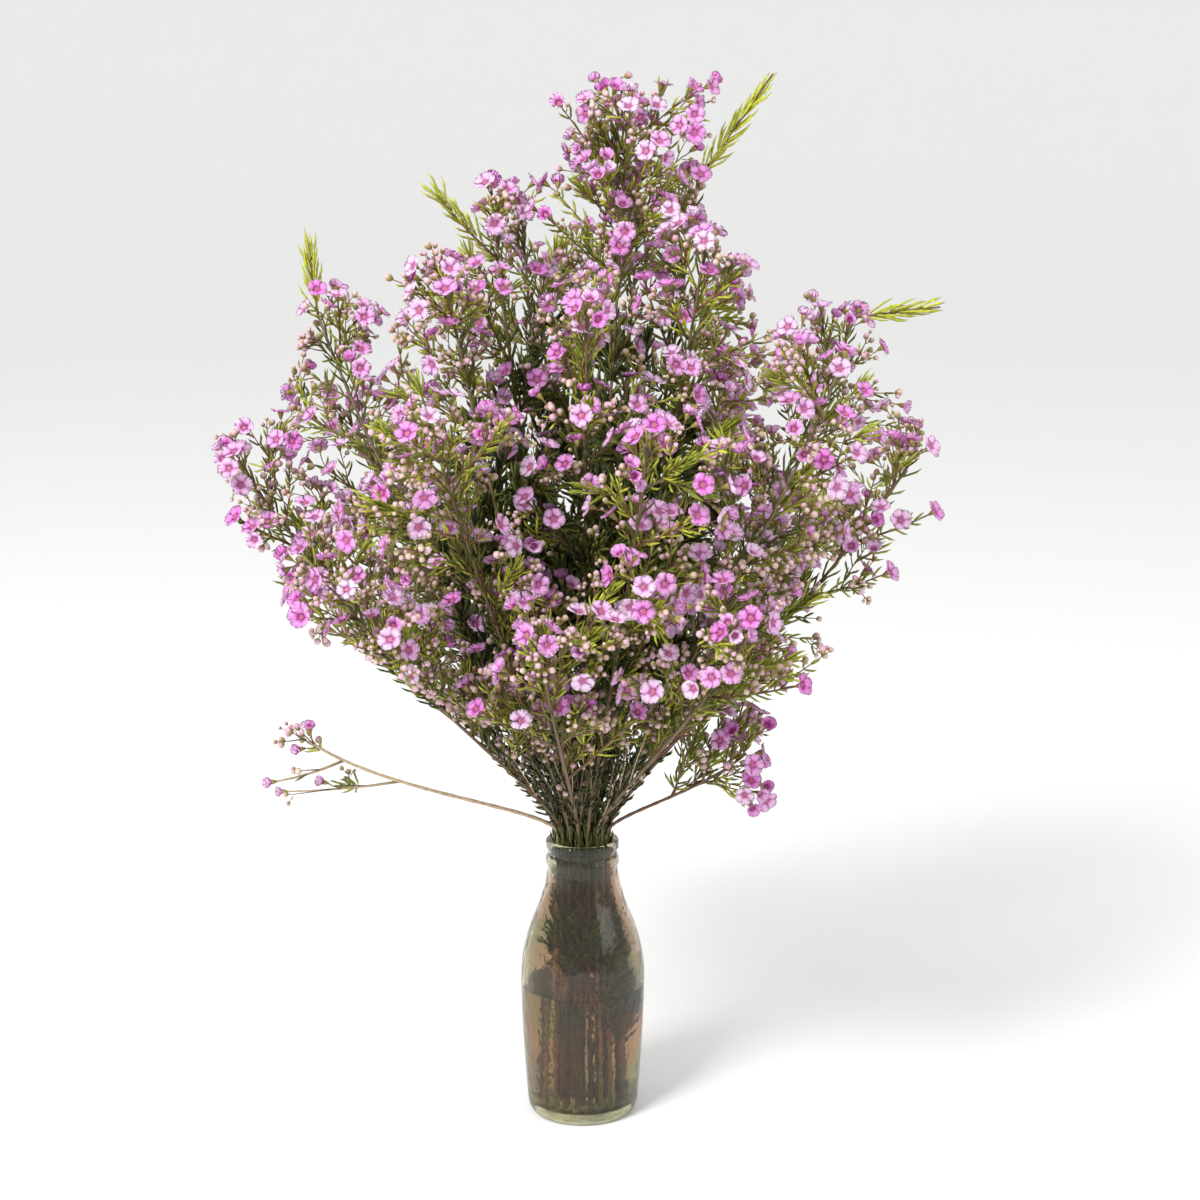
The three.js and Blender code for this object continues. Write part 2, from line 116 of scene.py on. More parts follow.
def turned(profile, sides):
    """A turned body: each (radius, height) point but the first and last is swept round Z. Those are poles."""
    radius, height = profile[1:-1].T
    level = np.broadcast_to(height[:, None], (len(height), sides))
    x, y = radius[:, None] * np.cos(turns(sides)), radius[:, None] * np.sin(turns(sides))
    rings = np.stack([x, y, level], -1).reshape(-1, 3)
    return np.vstack([[(0, 0, profile[0, 1])], rings, [(0, 0, profile[-1, 1])]])


def corner_uv(along, round_it):
    """The UV of faces from the U and V of their corners."""
    spread = np.broadcast_arrays(*along, *round_it)
    return np.stack([np.stack(spread[: len(along)], -1), np.stack(spread[len(along) :], -1)], -1)


def skin(rings, sides):
    """Faces and their UV for a closed skin: a pole, rings of points, and a pole. U runs along, V round."""
    here = np.arange(sides)
    after = (here + 1) % sides
    start = 1 + sides * np.arange(rings - 1)[:, None]
    last = 1 + sides * (rings - 1)
    quads = np.stack([start + here, start + after, start + sides + after, start + sides + here], -1)
    foot = np.stack([0 * here, 1 + after, 1 + here], -1)
    top = np.stack([last + here, last + after, 0 * here + last + sides], -1)
    step = 1 / (rings + 1)
    along = np.arange(1, rings)[:, None] / (rings + 1)
    low, high = here / sides, (here + 1) / sides
    middle = (low + high) / 2
    quad_uv = corner_uv([along, along, along + step, along + step], [low, high, high, low])
    foot_uv = corner_uv([0, step, step], [middle, high, low])
    top_uv = corner_uv([1 - step, 1 - step, 1], [low, high, middle])
    return [quads.reshape(-1, 4), foot, top], [quad_uv.reshape(-1, 4, 2), foot_uv, top_uv]


def layer(points, faces, places, material, tint=0.0):
    """Bodies of one shape and material: points (bodies, points, 3), and one body's faces and their UV."""
    count, size = points.shape[:2]
    shift = size * np.arange(count)[:, None, None]
    tint = tint if np.ndim(tint) == 2 else np.reshape(tint, (-1, 1))
    return {
        "points": points.reshape(-1, 3),
        "faces": [(face + shift).reshape(-1, face.shape[1]) for face in faces],
        "places": [np.tile(place, (count, 1, 1)) for place in places],
        "tint": np.broadcast_to(tint, (count, size)).ravel(),
        "material": material,
    }


def make_piece(name, layers, slot, *nodes):
    """One smooth-shaded mesh of all the layers, with a UV map and a tint, which stands for some CAD nodes."""
    points = np.vstack([part["points"] for part in layers]) * MILLIMETRE
    starts = np.cumsum([0] + [len(part["points"]) for part in layers])
    faces = [face + start for part, start in zip(layers, starts) for face in part["faces"]]
    corners = np.concatenate([face.ravel() for face in faces])
    sizes = np.concatenate([np.full(len(face), face.shape[1]) for face in faces])
    places = np.concatenate([place.reshape(-1, 2) for part in layers for place in part["places"]])
    materials = list({part["material"].name: part["material"] for part in layers}.values())
    index = [materials.index(part["material"]) for part in layers for _ in part["faces"]]
    mesh = bpy.data.meshes.new(name)
    mesh.vertices.add(len(points))
    mesh.vertices.foreach_set("co", points.astype(np.float32).ravel())
    mesh.loops.add(len(corners))
    mesh.loops.foreach_set("vertex_index", corners.astype(np.int32))
    mesh.polygons.add(len(sizes))
    mesh.polygons.foreach_set("loop_start", (np.cumsum(sizes) - sizes).astype(np.int32))
    mesh.update(calc_edges=True)
    mesh.shade_smooth()
    for material in materials:
        mesh.materials.append(material)
    material_of_face = np.repeat(index, [len(face) for face in faces])
    mesh.polygons.foreach_set("material_index", material_of_face.astype(np.int32))
    mesh.uv_layers.new(name="along_and_round").uv.foreach_set("vector", places.astype(np.float32).ravel())
    tint = mesh.attributes.new("tint", "FLOAT", "POINT")
    tint.data.foreach_set("value", np.concatenate([part["tint"] for part in layers]).astype(np.float32))
    piece = bpy.data.objects.new(name, mesh)
    bpy.context.scene.collection.objects.link(piece)
    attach(piece, "root")
    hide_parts(*nodes)


def set_up(node, settings):
    """Sets a shader node up. Its own settings start with a small letter, its inputs with a capital one."""
    for name, value in settings.items():
        if name[0].islower():
            setattr(node, name, value)
        else:
            socket = node.inputs[name.replace("_", " ")]
            socket.default_value = (*value, 1) if socket.type == "RGBA" else value
    return node


def new_material(name, **settings):
    """A material, with its node tree and its Principled BSDF."""
    material = bpy.data.materials.new(name)
    material.use_nodes = True
    tree = material.node_tree
    return material, tree, set_up(tree.nodes["Principled BSDF"], settings)


def add_node(tree, kind, **settings):
    """One more shader node, set up."""
    return set_up(tree.nodes.new("ShaderNode" + kind), settings)


def chain(tree, *run):
    """Links nodes in a row. Between each two stand the output and the input that the link joins."""
    for source, sockets, target in zip(run[::2], run[1::2], run[2::2]):
        output, entry = sockets.split(" > ")
        tree.links.new(source.outputs[output], target.inputs[entry])


def ramp_of(tree, stops):
    """A colour ramp with the given (position, colour) stops."""
    ramp = add_node(tree, "ValToRGB")
    elements = ramp.color_ramp.elements
    while len(elements) < len(stops):
        elements.new(1)
    for element, (position, colour) in zip(elements, stops):
        element.position, element.color = position, (*colour, 1)
    return ramp


def pressed_glass():
    """Clear smoky glass. Its colour goes by height from the green of the thick base to brown, which is a
    painted reflection of brown surroundings, and is clouded with grey-green by a broad noise. A finer noise
    in a bump makes its surface very slightly wavy."""
    material, tree, shader = new_material("pressed_glass", Roughness=0.01, IOR=1.45, Transmission_Weight=1)
    place = add_node(tree, "TexCoord")
    split = add_node(tree, "SeparateXYZ")
    height = add_node(tree, "MapRange", From_Max=BOTTLE_HEIGHT * MILLIMETRE)
    # Painted reflection: the brown above the base.
    tint = ramp_of(tree, GLASS_TINTS_AND_PAINTED_REFLECTION)
    clouds = add_node(tree, "TexNoise", Scale=24, Detail=2)
    cloudy = add_node(tree, "MapRange", From_Min=0.42, From_Max=0.58, To_Max=0.85)
    mix = add_node(tree, "Mix", data_type="RGBA", B=(0.46, 0.48, 0.32))
    waves = add_node(tree, "TexNoise", Scale=85, Detail=3)
    bump = add_node(tree, "Bump", Strength=0.6, Distance=0.0014)
    chain(tree, place, "Object > Vector", split, "Z > Value", height, "Result > Fac", tint, "Color > A", mix)
    chain(tree, place, "Object > Vector", clouds, "Fac > Value", cloudy, "Result > Factor", mix)
    chain(tree, mix, "Result > Base Color", shader)
    chain(tree, place, "Object > Vector", waves, "Fac > Height", bump, "Normal > Normal", shader)
    return material


def bottle_profile():
    """All round the glass, from the middle of the hollow under the base, outside and inside, to the floor."""
    hollow = bezier([(0, PUSH_UP), (20, PUSH_UP), (30, PUSH_UP), (33, 0), (BASE_RADIUS, 0)], 9)
    lip_edge = (LIP_RADIUS, LIP_HEIGHT + 3.2), (INNER_NECK, LIP_HEIGHT + 3.2)
    lip = bezier([(LIP_RADIUS, LIP_HEIGHT), *lip_edge, (INNER_NECK, LIP_HEIGHT)], 11)
    levels = np.linspace(COLLAR_HEIGHT, CORNER_HEIGHT, 48)
    inside = np.stack([inner_radius(levels), levels], 1)
    corner = bezier([inside[-1], (inside[-1, 0] - 0.3, FLOOR + 0.4), (FLOOR_RADIUS, FLOOR)], 6)
    return np.vstack([hollow[:-1], outside, lip, inside, corner[1:], [(0, FLOOR + FLOOR_RISE)]])


def turned_layer(profile, sides, material):
    """One turned body as a layer."""
    return layer(turned(profile, sides)[None], *skin(len(profile) - 2, sides), material)


make_piece("milk_bottle", [turned_layer(bottle_profile(), BOTTLE_SIDES, pressed_glass())], "glass", "bottle")

# ---- The water -----------------------------------------------------------------------------------
# Clear tap water, a little under half way up. It wets the glass all round, reaches a hair's breadth into
# it so that no air shows between them, and climbs it in a small rim at the surface.

WATER_LEVEL = 98.0
WETTING = 0.15
RIM_RISE = 1.3
RIM_WIDTH = 3.2


def water_profile():
    """Up the wet wall from the middle of the floor, and back along the surface to the bottle's axis."""
    levels = np.linspace(CORNER_HEIGHT, WATER_LEVEL, 22)
    wall = np.stack([inner_radius(levels) + WETTING, levels], 1)
    corner = bezier([(FLOOR_RADIUS, FLOOR), (wall[0, 0] - 0.3, FLOOR + 0.4), wall[0]], 6)
    edge = inner_radius(WATER_LEVEL)
    rim_top = (edge + WETTING, WATER_LEVEL + RIM_RISE)
    rim = bezier([rim_top, (edge - 0.4, WATER_LEVEL), (edge - RIM_WIDTH, WATER_LEVEL)], 7)
    start, end = (0, FLOOR + FLOOR_RISE - WETTING), (0, WATER_LEVEL)
    return np.vstack([[start], corner[:-1] - (0, WETTING), wall, rim, [(12, WATER_LEVEL)], [end]])


def still_water():
    """Water with a faint brown cast, a painted reflection of brown surroundings, and a bump of ripples too
    low to see.
    """
    # The base colour's brown cast is a painted reflection of brown surroundings.
    looks = {"Base_Color": (0.88, 0.8, 0.67), "Roughness": 0, "IOR": 1.33, "Transmission_Weight": 1}
    material, tree, shader = new_material("still_water", **looks)
    place = add_node(tree, "TexCoord")
    ripples = add_node(tree, "TexNoise", Scale=30)
    bump = add_node(tree, "Bump", Strength=0.06, Distance=0.001)
    chain(tree, place, "Object > Vector", ripples, "Fac > Height", bump, "Normal > Normal", shader)
    return material


make_piece("bottle_water", [turned_layer(water_profile(), BOTTLE_SIDES, still_water())], "water", "water")

# ---- How the stems grow --------------------------------------------------------------------------
# Cut stems of waxflower, a woody shrub. Each stands on the bottle's floor, leans on the neck, and bends
# out to its own place in the bunch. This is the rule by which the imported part's stems grew, step for step,
# so that each finer piece lies where the solid that it stands for lies.

NECK_LEVEL = BOTTLE_HEIGHT + 4
SEAT_GAP = 0.3
CLEARANCE = 0.5
SPREAD_X = 262.0
SPREAD_Y = 245.0
TOP = 760.0
UNDERSIDE = 285.0
UNDERSIDE_RISE = 0.3
SPRIG_HEIGHT = 320.0  # a stem that ends below this is a sprig
AXIS_RADIUS = 1.9
AXIS_STEPS = 6
TWIG_RADIUS = 1.0
TWIG_ANGLE = 0.68
SHORTEST_TWIG = 34.0
LONGEST_TWIG = 110.0
GOLDEN_ANGLE = 2.4
FLOWER_RADIUS = 8.5
CUP_DEPTH = 2.4
CALYX_RADIUS = 1.7
BUD_RADIUS = 2.9
NEEDLE_RADIUS = 0.5
ROOT_SPACING = 2.2
HEAD_DEPTH = 9.0  # how far below the flower that ends a twig its head begins
HEAD_STALKS = (12, 14)
SIDE_STALK = 13.5
TUFT_NEEDLES = 5
TUFT_LENGTHS = (19, 27)
LEADER_NEEDLES = 9
LEADER_LENGTHS = (19, 25)
SIDE_LENGTHS = (17, 26)
SEED = 20417
MULTIPLIER = 48271
MODULUS = 2147483647
UP = np.array([0.0, 0.0, 1.0])

# The stems by their radius in the neck. Each has its direction seen from above in degrees, how far its tip
# leans out, the height of its tip, the length of bare stalk above the neck, its number of twigs and, on
# some, the end of a leafy leader beyond its tip.
RINGS = {
    0.0: [(20, 34, 732, 190, 5)],
    9.2: [
        (15, 84, 684, 170, 5, (132, 10, 757)),
        (66, 100, 650, 150, 5),
        (118, 96, 672, 160, 5),
        (169, 64, 678, 160, 5),
        (221, 120, 630, 140, 5),
        (272, 118, 608, 130, 5),
        (324, 104, 648, 140, 5),
    ],
    18.3: [
        (355, 236, 500, 120, 6),
        (17, 206, 584, 150, 5, (257, 46, 593)),
        (38, 226, 420, 110, 4),
        (59, 224, 530, 130, 5),
        (80, 196, 420, 110, 4),
        (101, 172, 608, 150, 5),
        (122, 214, 410, 110, 4),
        (143, 226, 506, 120, 6),
        (164, 198, 586, 150, 5, (-196, 60, 629)),
        (184, 242, 492, 120, 6),
        (198, 200, 300, 130, 2),
        (222, 222, 436, 110, 4),
        (242, 206, 552, 130, 5),
        (262, 190, 404, 100, 4),
        (282, 206, 530, 130, 6),
        (301, 222, 420, 110, 4),
        (319, 222, 574, 140, 6),
        (337, 126, 288, 70, 3),
    ],
}

generator = {"state": SEED}


def draw(low=0.0, high=1.0):
    """The next number of Park and Miller's generator, from low to high."""
    generator["state"] = generator["state"] * MULTIPLIER % MODULUS
    return low + (high - low) * generator["state"] / MODULUS


def unit(vectors):
    """Vectors of length 1, along the last axis."""
    return vectors / np.sqrt((vectors * vectors).sum(-1, keepdims=True))


def cross(first, second):
    """The cross product along the last axis."""
    turned_first, turned_second = np.roll(first, -1, -1), np.roll(second, -1, -1)
    return np.roll(first * turned_second - turned_first * second, -1, -1)


def across(direction):
    """Two directions square to each given one: one level, or square to X where it is steep, and the other."""
    steep = np.abs(direction[..., 2:]) >= 0.8
    side = unit(cross(np.where(steep, (1.0, 0.0, 0.0), UP), direction))
    return side, cross(direction, side)


def leaving(direction, tilt, turn):
    """Directions that leave given ones at an angle, the tilt, on the side that the turn says, in radians."""
    side, over = across(direction)
    tilt, turn = np.asarray(tilt)[..., None], np.asarray(turn)[..., None]
    return direction * np.cos(tilt) + (side * np.cos(turn) + over * np.sin(turn)) * np.sin(tilt)


def bend_point(stem, share):
    """A stem's place at a share of its bend: a cubic Bezier curve in its Bernstein form."""
    rest = 1 - share
    weights = rest**3, 3 * rest * rest * share, 3 * rest * share * share, share**3
    return sum(weight * point for weight, point in zip(weights, stem["bend"]))


def bend_heading(stem, share):
    """The way that a stem grows at a share of its bend."""
    return unit(bend_point(stem, min(1, share + 1e-4)) - bend_point(stem, max(0, share - 1e-4)))


def stand_stem(number, neck_radius, azimuth, lean, height, bare, twigs, leader=None):
    """A stem: straight from its cut foot up to the neck, and a cubic Bezier curve from there to its tip."""
    turn = math.radians(azimuth)
    aside = np.array([math.cos(turn), math.sin(turn), 0.0])
    foot_radius = 1.25 * neck_radius
    floor = FLOOR + FLOOR_RISE * (1 - (foot_radius - AXIS_RADIUS) / FLOOR_RADIUS)
    foot = foot_radius * aside + (floor + SEAT_GAP) * UP
    neck = neck_radius * aside + NECK_LEVEL * UP
    tip = lean * aside + height * UP
    chord = tip - neck
    reach = math.sqrt(chord @ chord)
    arrive = unit(unit(chord) + 0.3 * UP)
    bend = neck, neck + unit(neck - foot) * (0.06 * reach + 8), tip - arrive * (0.36 * reach), tip
    facts = {"number": number, "sprig": height < SPRIG_HEIGHT, "leader": leader, "foot": foot, "bend": bend}
    grown = {"twigs": [], "flowers": [], "buds": [], "needles": []}
    return {**facts, "bare": bare / reach, "twig_count": twigs, **grown}


stands = [(neck_radius, *stand) for neck_radius, ring in RINGS.items() for stand in ring]
stems = [stand_stem(number, *stand) for number, stand in enumerate(stands)]

# Everything placed so far: a straight stretch each, from a start along a step, with a radius.
ROOM = 14000
placed = {
    "count": 0,
    "start": np.zeros((ROOM, 3)),
    "step": np.zeros((ROOM, 3)),
    "radius": np.zeros(ROOM),
    "stem": np.zeros(ROOM, int),
    "wood": np.zeros(ROOM, bool),
}


def place(wood, start, end, radius, stem):
    """Notes a stretch, so that what grows later stays clear of it."""
    at = placed["count"]
    placed["start"][at], placed["step"][at], placed["radius"][at] = start, end - start, radius
    placed["stem"][at], placed["wood"][at] = stem["number"], wood
    placed["count"] = at + 1


def inside(point, radius, stem):
    """Whether a ball lies within the bunch: its width, depth and top, and above its underside."""
    underside = UNDERSIDE + UNDERSIDE_RISE * math.hypot(point[0], point[1])
    if stem["sprig"]:
        underside = BOTTLE_HEIGHT + 8
    within = abs(point[0]) + radius < SPREAD_X and abs(point[1]) + radius < SPREAD_Y
    return within and point[2] + radius < TOP and point[2] - radius > underside


def distances(start, step, starts, steps):
    """The shortest distance from one straight stretch to each of several, by their closest points."""
    offset = start - starts
    own, other = step @ step, (steps * steps).sum(1)
    both, own_off, other_off = steps @ step, offset @ step, (steps * offset).sum(1)
    spread = own * other - both * both
    safe = np.where(spread > 1e-6, spread, 1)
    here = np.where(spread > 1e-6, ((both * other_off - own_off * other) / safe).clip(0, 1), 0)
    there = (both * here + other_off) / other
    here = np.where(there < 0, (-own_off / own).clip(0, 1), here)
    here = np.where(there > 1, ((both - own_off) / own).clip(0, 1), here)
    apart = offset + here[:, None] * step - there.clip(0, 1)[:, None] * steps
    return np.sqrt((apart * apart).sum(1))


def is_clear(start, end, radius, stem, own_share=1.0, apart=CLEARANCE, bounds=inside):
    """Whether a stretch is clear of every other stem, and of its own stem's flowers, buds and needles."""
    if not bounds(end, radius, stem):
        return False
    facts = (placed[key][: placed["count"]] for key in ("start", "step", "radius", "stem", "wood"))
    starts, steps, radii, owners, wood = facts
    own = owners == stem["number"]
    middle = (start + end) / 2 - starts - steps / 2
    span = np.sqrt((steps * steps).sum(1)) / 2 + math.dist(start, end) / 2 + radius + 1
    near = ((middle * middle).sum(1) < (span + radii) ** 2) & ~(own & wood)
    if not near.any():
        return True
    reach = radius + radii[near]
    least = np.where(own[near], own_share * reach, reach + apart)
    return bool((distances(start, end - start, starts[near], steps[near]) > least).all())


def seat_flower(stem, flower, cup_share, stalk_share, sunk, girth, *limits):
    """Places a flower, if there is room for its cup and, but for the part sunk in its twig, for its stalk."""
    root, middle = flower["root"], flower["middle"]
    rim = middle + flower["direction"] * CUP_DEPTH
    radius = flower["size"] * math.cos(flower["closed"])
    if not is_clear(middle, rim, radius, stem, cup_share, *limits):
        return False
    if not is_clear(root + (middle - root) * sunk, middle, girth, stem, stalk_share, *limits):
        return False
    place(False, middle, rim, radius, stem)
    place(True, root, middle, girth, stem)
    stem["flowers"].append(flower)
    return True


def add_flower(stem, root, middle, direction, twig, ends_twig=False):
    """An open flower, if there is room: its root, the middle of its cup, and the way that it faces."""
    facts = {"root": root, "middle": middle, "direction": direction, "twig": twig, "ends_twig": ends_twig}
    size = FLOWER_RADIUS * draw(0.9, 1.05)
    flower = {**facts, "size": size, "spin": draw(0, FULL_TURN), "closed": 0.0}
    return seat_flower(stem, flower, 0.86, 1.0, 0.3, CALYX_RADIUS)


def add_bud(stem, root, direction, stalk_length, twig):
    """A bud on its stalk, if there is room."""
    size = BUD_RADIUS * draw(0.8, 1.1)
    top = root + direction * stalk_length
    middle = top - direction * size
    if not is_clear(root + direction * 3, top, size, stem):
        return False
    place(False, middle, top, size, stem)
    place(True, root, middle, 1, stem)
    stem["buds"].append({"root": root, "middle": middle, "direction": direction, "size": size, "twig": twig})
    return True


def add_needle(stem, root, direction, length, twig):
    """A needle leaf, if there is room."""
    tip = root + direction * length
    if is_clear(root + direction * 3, tip, NEEDLE_RADIUS, stem):
        place(False, root + direction * 4, tip, NEEDLE_RADIUS, stem)
        facts = {"root": root, "direction": direction, "length": length, "twig": twig}
        bright = 0.88 if twig["leafy"] else 0.5
        stem["needles"].append({**facts, "away": direction - twig["way"], "bright": bright})


def try_round(way, tilt, first_turn, grow):
    """Tries a few directions round a twig, until something that grows from it has room."""
    for attempt in range(5):
        if grow(leaving(way, tilt, first_turn + 1.1 * attempt)):
            return


def add_head(stem, end, way, flowers, buds, twig):
    """The flowers and buds of a head, on stalks that leave the twig one below another."""
    start = draw(0, FULL_TURN)
    stalks = flowers + buds
    for index in range(stalks):
        root = end - way * (ROOT_SPACING * (index + 1))
        length = draw(*HEAD_STALKS)

        def grow(direction):
            if index < flowers:
                return add_flower(stem, root, root + direction * length, direction, twig)
            return add_bud(stem, root, direction, length - 3, twig)

        try_round(way, draw(0.65, 0.95), start + FULL_TURN * index / stalks, grow)


def add_tuft(stem, end, way, twig):
    """A leafy tip: needles that leave the end of a twig one below another, the lowest spread the most."""
    start = draw(0, FULL_TURN)
    for index in range(TUFT_NEEDLES):
        direction = leaving(way, 0.15 + 0.12 * index, start + GOLDEN_ANGLE * index)
        add_needle(stem, end + way * (-1 - 1.5 * index), direction, draw(*TUFT_LENGTHS), twig)


def new_twig(start, end, way, heading, radius, share, **traits):
    """A twig that arches a little: it leaves its parent at a wider angle, and then turns up along it."""
    length = math.dist(start, end)
    bow = (way * (heading @ way) - heading) * 0.045 * length
    facts = {"start": start, "end": end, "way": way, "heading": heading, "length": length, "bow": bow}
    return {**facts, "radius": radius, "share": share, "leafy": False, "dry": False, "wet": False, **traits}


def add_twig(stem, index):
    """A side twig from the axis. It leaves at an angle, and is turned until it is clear of other stems."""
    share = stem["bare"] + (1 - stem["bare"]) * (index + 0.3) / stem["twig_count"]
    start, heading = bend_point(stem, share), bend_heading(stem, share)
    reach = SHORTEST_TWIG + (LONGEST_TWIG - SHORTEST_TWIG) * math.sqrt(1 - share)
    full_length = reach * draw(0.85, 1.15)
    first_turn = draw(0, FULL_TURN)
    for attempt in range(9):
        way = leaving(heading, TWIG_ANGLE, first_turn + GOLDEN_ANGLE * index + 0.7 * attempt)
        end = start + way * (full_length * (1 - 0.06 * attempt))
        if is_clear(start, end, TWIG_RADIUS + 1, stem) and is_clear(end, end + way * 2, 7, stem):
            place(True, start, end, TWIG_RADIUS, stem)
            stem["twigs"].append(new_twig(start, end, way, heading, TWIG_RADIUS, share))
            return


def dress_twig(stem, twig, index):
    """A twig ends in a leafy tip, or in a flower with others round it, and has one thing more below that."""
    start, end, way = twig["start"], twig["end"], twig["way"]
    facing = unit(way + twig["heading"] * 0.35)
    if (stem["number"] + 2 * index) % 9 == 4 or not add_flower(stem, start, end, facing, twig, True):
        twig["leafy"] = True
        add_tuft(stem, end, way, twig)
    else:
        add_head(stem, end - way * HEAD_DEPTH, way, 1 if index % 2 else 2, index % 2, twig)
    root = start + (end - start) * draw(0.45, 0.65)
    turn = draw(0, FULL_TURN)
    if index % 3 == 0:
        add_needle(stem, root, leaving(way, 0.6, turn), draw(*SIDE_LENGTHS), twig)
    else:
        try_round(way, 0.75, turn, lambda way: add_flower(stem, root, root + way * SIDE_STALK, way, twig))


def add_leader(stem, tip):
    """A leader: a leafy shoot from the end of the axis, with needles all along it."""
    end = np.array(stem["leader"], float)
    way = unit(end - tip)
    start = tip - way
    place(True, start, end, TWIG_RADIUS, stem)
    twig = new_twig(start, end, way, way, TWIG_RADIUS, 1.0, leafy=True)
    stem["twigs"].append(twig)
    for index in range(LEADER_NEEDLES):
        root = end + way * (-1 - (twig["length"] - 8) * index / LEADER_NEEDLES)
        direction = leaving(way, 0.38, GOLDEN_ANGLE * index)
        add_needle(stem, root, direction, draw(*LEADER_LENGTHS), twig)


for stem in stems:
    bends = [bend_point(stem, step / AXIS_STEPS) for step in range(AXIS_STEPS + 1)]
    for start, end in zip(bends, bends[1:]):
        place(True, start, end, AXIS_RADIUS, stem)
for index in range(max(stem["twig_count"] for stem in stems)):
    for stem in stems:
        if index < stem["twig_count"]:
            add_twig(stem, stem["twig_count"] - 1 - index)
for stem in stems:
    tip, heading = bend_point(stem, 1), bend_heading(stem, 1)
    for index, twig in enumerate(list(stem["twigs"])):
        dress_twig(stem, twig, index)
    if stem["leader"]:
        add_leader(stem, tip)
    end_of_axis = new_twig(tip - heading * 20, tip, heading, heading, TWIG_RADIUS, 1.0)
    add_head(stem, tip, heading, 3, 1, end_of_axis)

# ---- Branchlets and their crowns -----------------------------------------------------------------
# The thin young wood that fills the bunch: branchlets from the stems and from their twigs. Each ends in a
# head of open flowers, in a spray of buds or in a leafy tip, and grows in what room the main twigs leave.

CROWN_BRANCHLETS = 14  # round the top of the middle stem
LOBE_BRANCHLETS = 8  # on stems that reach out to the sides
TOP_BRANCHLETS = 6  # short ones on the stems in the middle
AXIS_BRANCHLETS = 10  # all along every stem
TWIG_BRANCHLETS = 4  # on each twig
LOW_SHOOTS = 8  # dry ones on the bare stalks
FRONT_BRANCHLETS = 6  # on stems that come to the front
SIDE_BRANCHLETS = 5  # on the left of the middle stem's top
GLASS_SHOOTS = 3  # leafy ones inside the bottle, on its right
LOBE_REACH = 60.0
FRONT_WIDTH = 100.0
FRONT_REACH = 70.0
SHOOT_SIDE = 6.0
MIDDLE_STEMS = 8  # these make the spire in the middle of the bunch
BARE_SPRIG = 18  # the number of the nearly bare sprig low on the left
BARE_SHOOTS = 7  # the branchlets that it lacks, from its foot up
FLOWERING_SPRIG = 25  # the number of the one low on the right
HEART_RADIUS = 122.0
HEART_LEVEL = 440.0
HEART_SLOPE = 0.45
HEART_FLOOR = 350.0
HEART_TOP = 585.0
HEART_LEAFY = 0.55
SPRIG_UNDERSIDE = 246.0
SPRIG_REACH = 140.0
HEAD_ROOM = 6.0  # the radius that is to be free where a branchlet carries a whole head
SHORT_BRANCHLET = 20.0
LONG_BRANCHLET = 84.0
BRANCHLET_RADIUS = 0.62
CROWN_SPACING = 1.1
BLOOM_STALKS = (8.5, 12.5)
BUD_STALKS = (5.0, 10.5)
HEADS_FROM = 320.0  # below this height hardly any branchlet ends in open flowers
HEADS_OVER = 110.0  # and over this much height they get as common as they are above
FINE_APART = 0.1
COLLAR_RADIUS = 26.0  # the bunch's radius just above the lip
COLLAR_SLOPE = 0.75  # and how much it widens for each millimetre up
LEAFY_SHARE = 0.09
TOP_LEAFY_SHARE = 0.1
FRONT_TILT = 0.22  # the slope at which a bunch is looked down on, from the front

# The bunch's outline from the front: some heights, with its reach to the left and to the right at each.
OUTLINE = [(222, 31, 31), (283, 72, 62), (315, 98, 105), (344, 130, 165), (366, 192, 207), (410, 223, 207)]
OUTLINE += [(454, 243, 215), (500, 260, 246), (560, 216, 244), (605, 196, 244), (625, 186, 95)]
OUTLINE += [(645, 76, 90), (706, 50, 100), (730, 26, 112), (760, 10, 130)]


def in_outline(point, radius):
    """Whether a ball lies within the bunch's outline, seen from the front and a little from above."""
    heights, *reaches = np.array(OUTLINE).T
    left, right = (np.interp(point[2] + FRONT_TILT * point[1], heights, reach) for reach in reaches)
    return bool(point[0] - radius > -left and point[0] + radius < right)


def inside_low(point, radius, stem):
    """As inside, but small things may also grow lower, in the narrow cone of stems above the bottle's lip."""
    out = math.hypot(point[0], point[1])
    cone = max(BOTTLE_HEIGHT + 6, NECK_LEVEL + (out - COLLAR_RADIUS) / COLLAR_SLOPE)
    above = point[2] - radius > min(cone, UNDERSIDE + UNDERSIDE_RISE * out)
    if stem["number"] == FLOWERING_SPRIG:
        return point[2] - radius > SPRIG_UNDERSIDE and point[0] + radius < SPRIG_REACH
    if stem["sprig"]:
        return point[2] - radius > BOTTLE_HEIGHT + 6
    within = abs(point[1]) + radius < SPREAD_Y and point[2] + radius < TOP
    return within and above and in_outline(point, radius)


def in_heart(points):
    """Whether points lie deep in the bunch, in a body like a spinning top, where little light comes."""
    x, y, z = np.moveaxis(points, -1, 0)
    within = np.hypot(x, y) < HEART_RADIUS - HEART_SLOPE * np.abs(z - HEART_LEVEL)
    return within & (z > HEART_FLOOR) & (z < HEART_TOP)


def add_branchlet(stem, start, heading, length, turn, tilt, share, room, **traits):
    """A branchlet, turned and shortened until it and what it is to carry have room."""
    limits = 0.7, FINE_APART, inside_low
    for attempt in range(7):
        way = leaving(heading, tilt, turn + 0.9 * attempt)
        end = start + way * (length * (1 - 0.07 * attempt))
        if not is_clear(start + way * 4, end, 0.8, stem, *limits):
            continue
        if is_clear(end, end + way * 2, room, stem, *limits):
            place(True, start, end, BRANCHLET_RADIUS, stem)
            twig = {**new_twig(start, end, way, heading, BRANCHLET_RADIUS, share), **traits}
            stem["twigs"].append(twig)
            return twig
    return None


def axis_branchlet(stem, share, length, turn, tilt, room, **traits):
    """A branchlet from the axis of a stem, at a share of its bend."""
    start, heading = bend_point(stem, share), bend_heading(stem, share)
    return add_branchlet(stem, start, heading, length, turn, tilt, share, room, **traits)


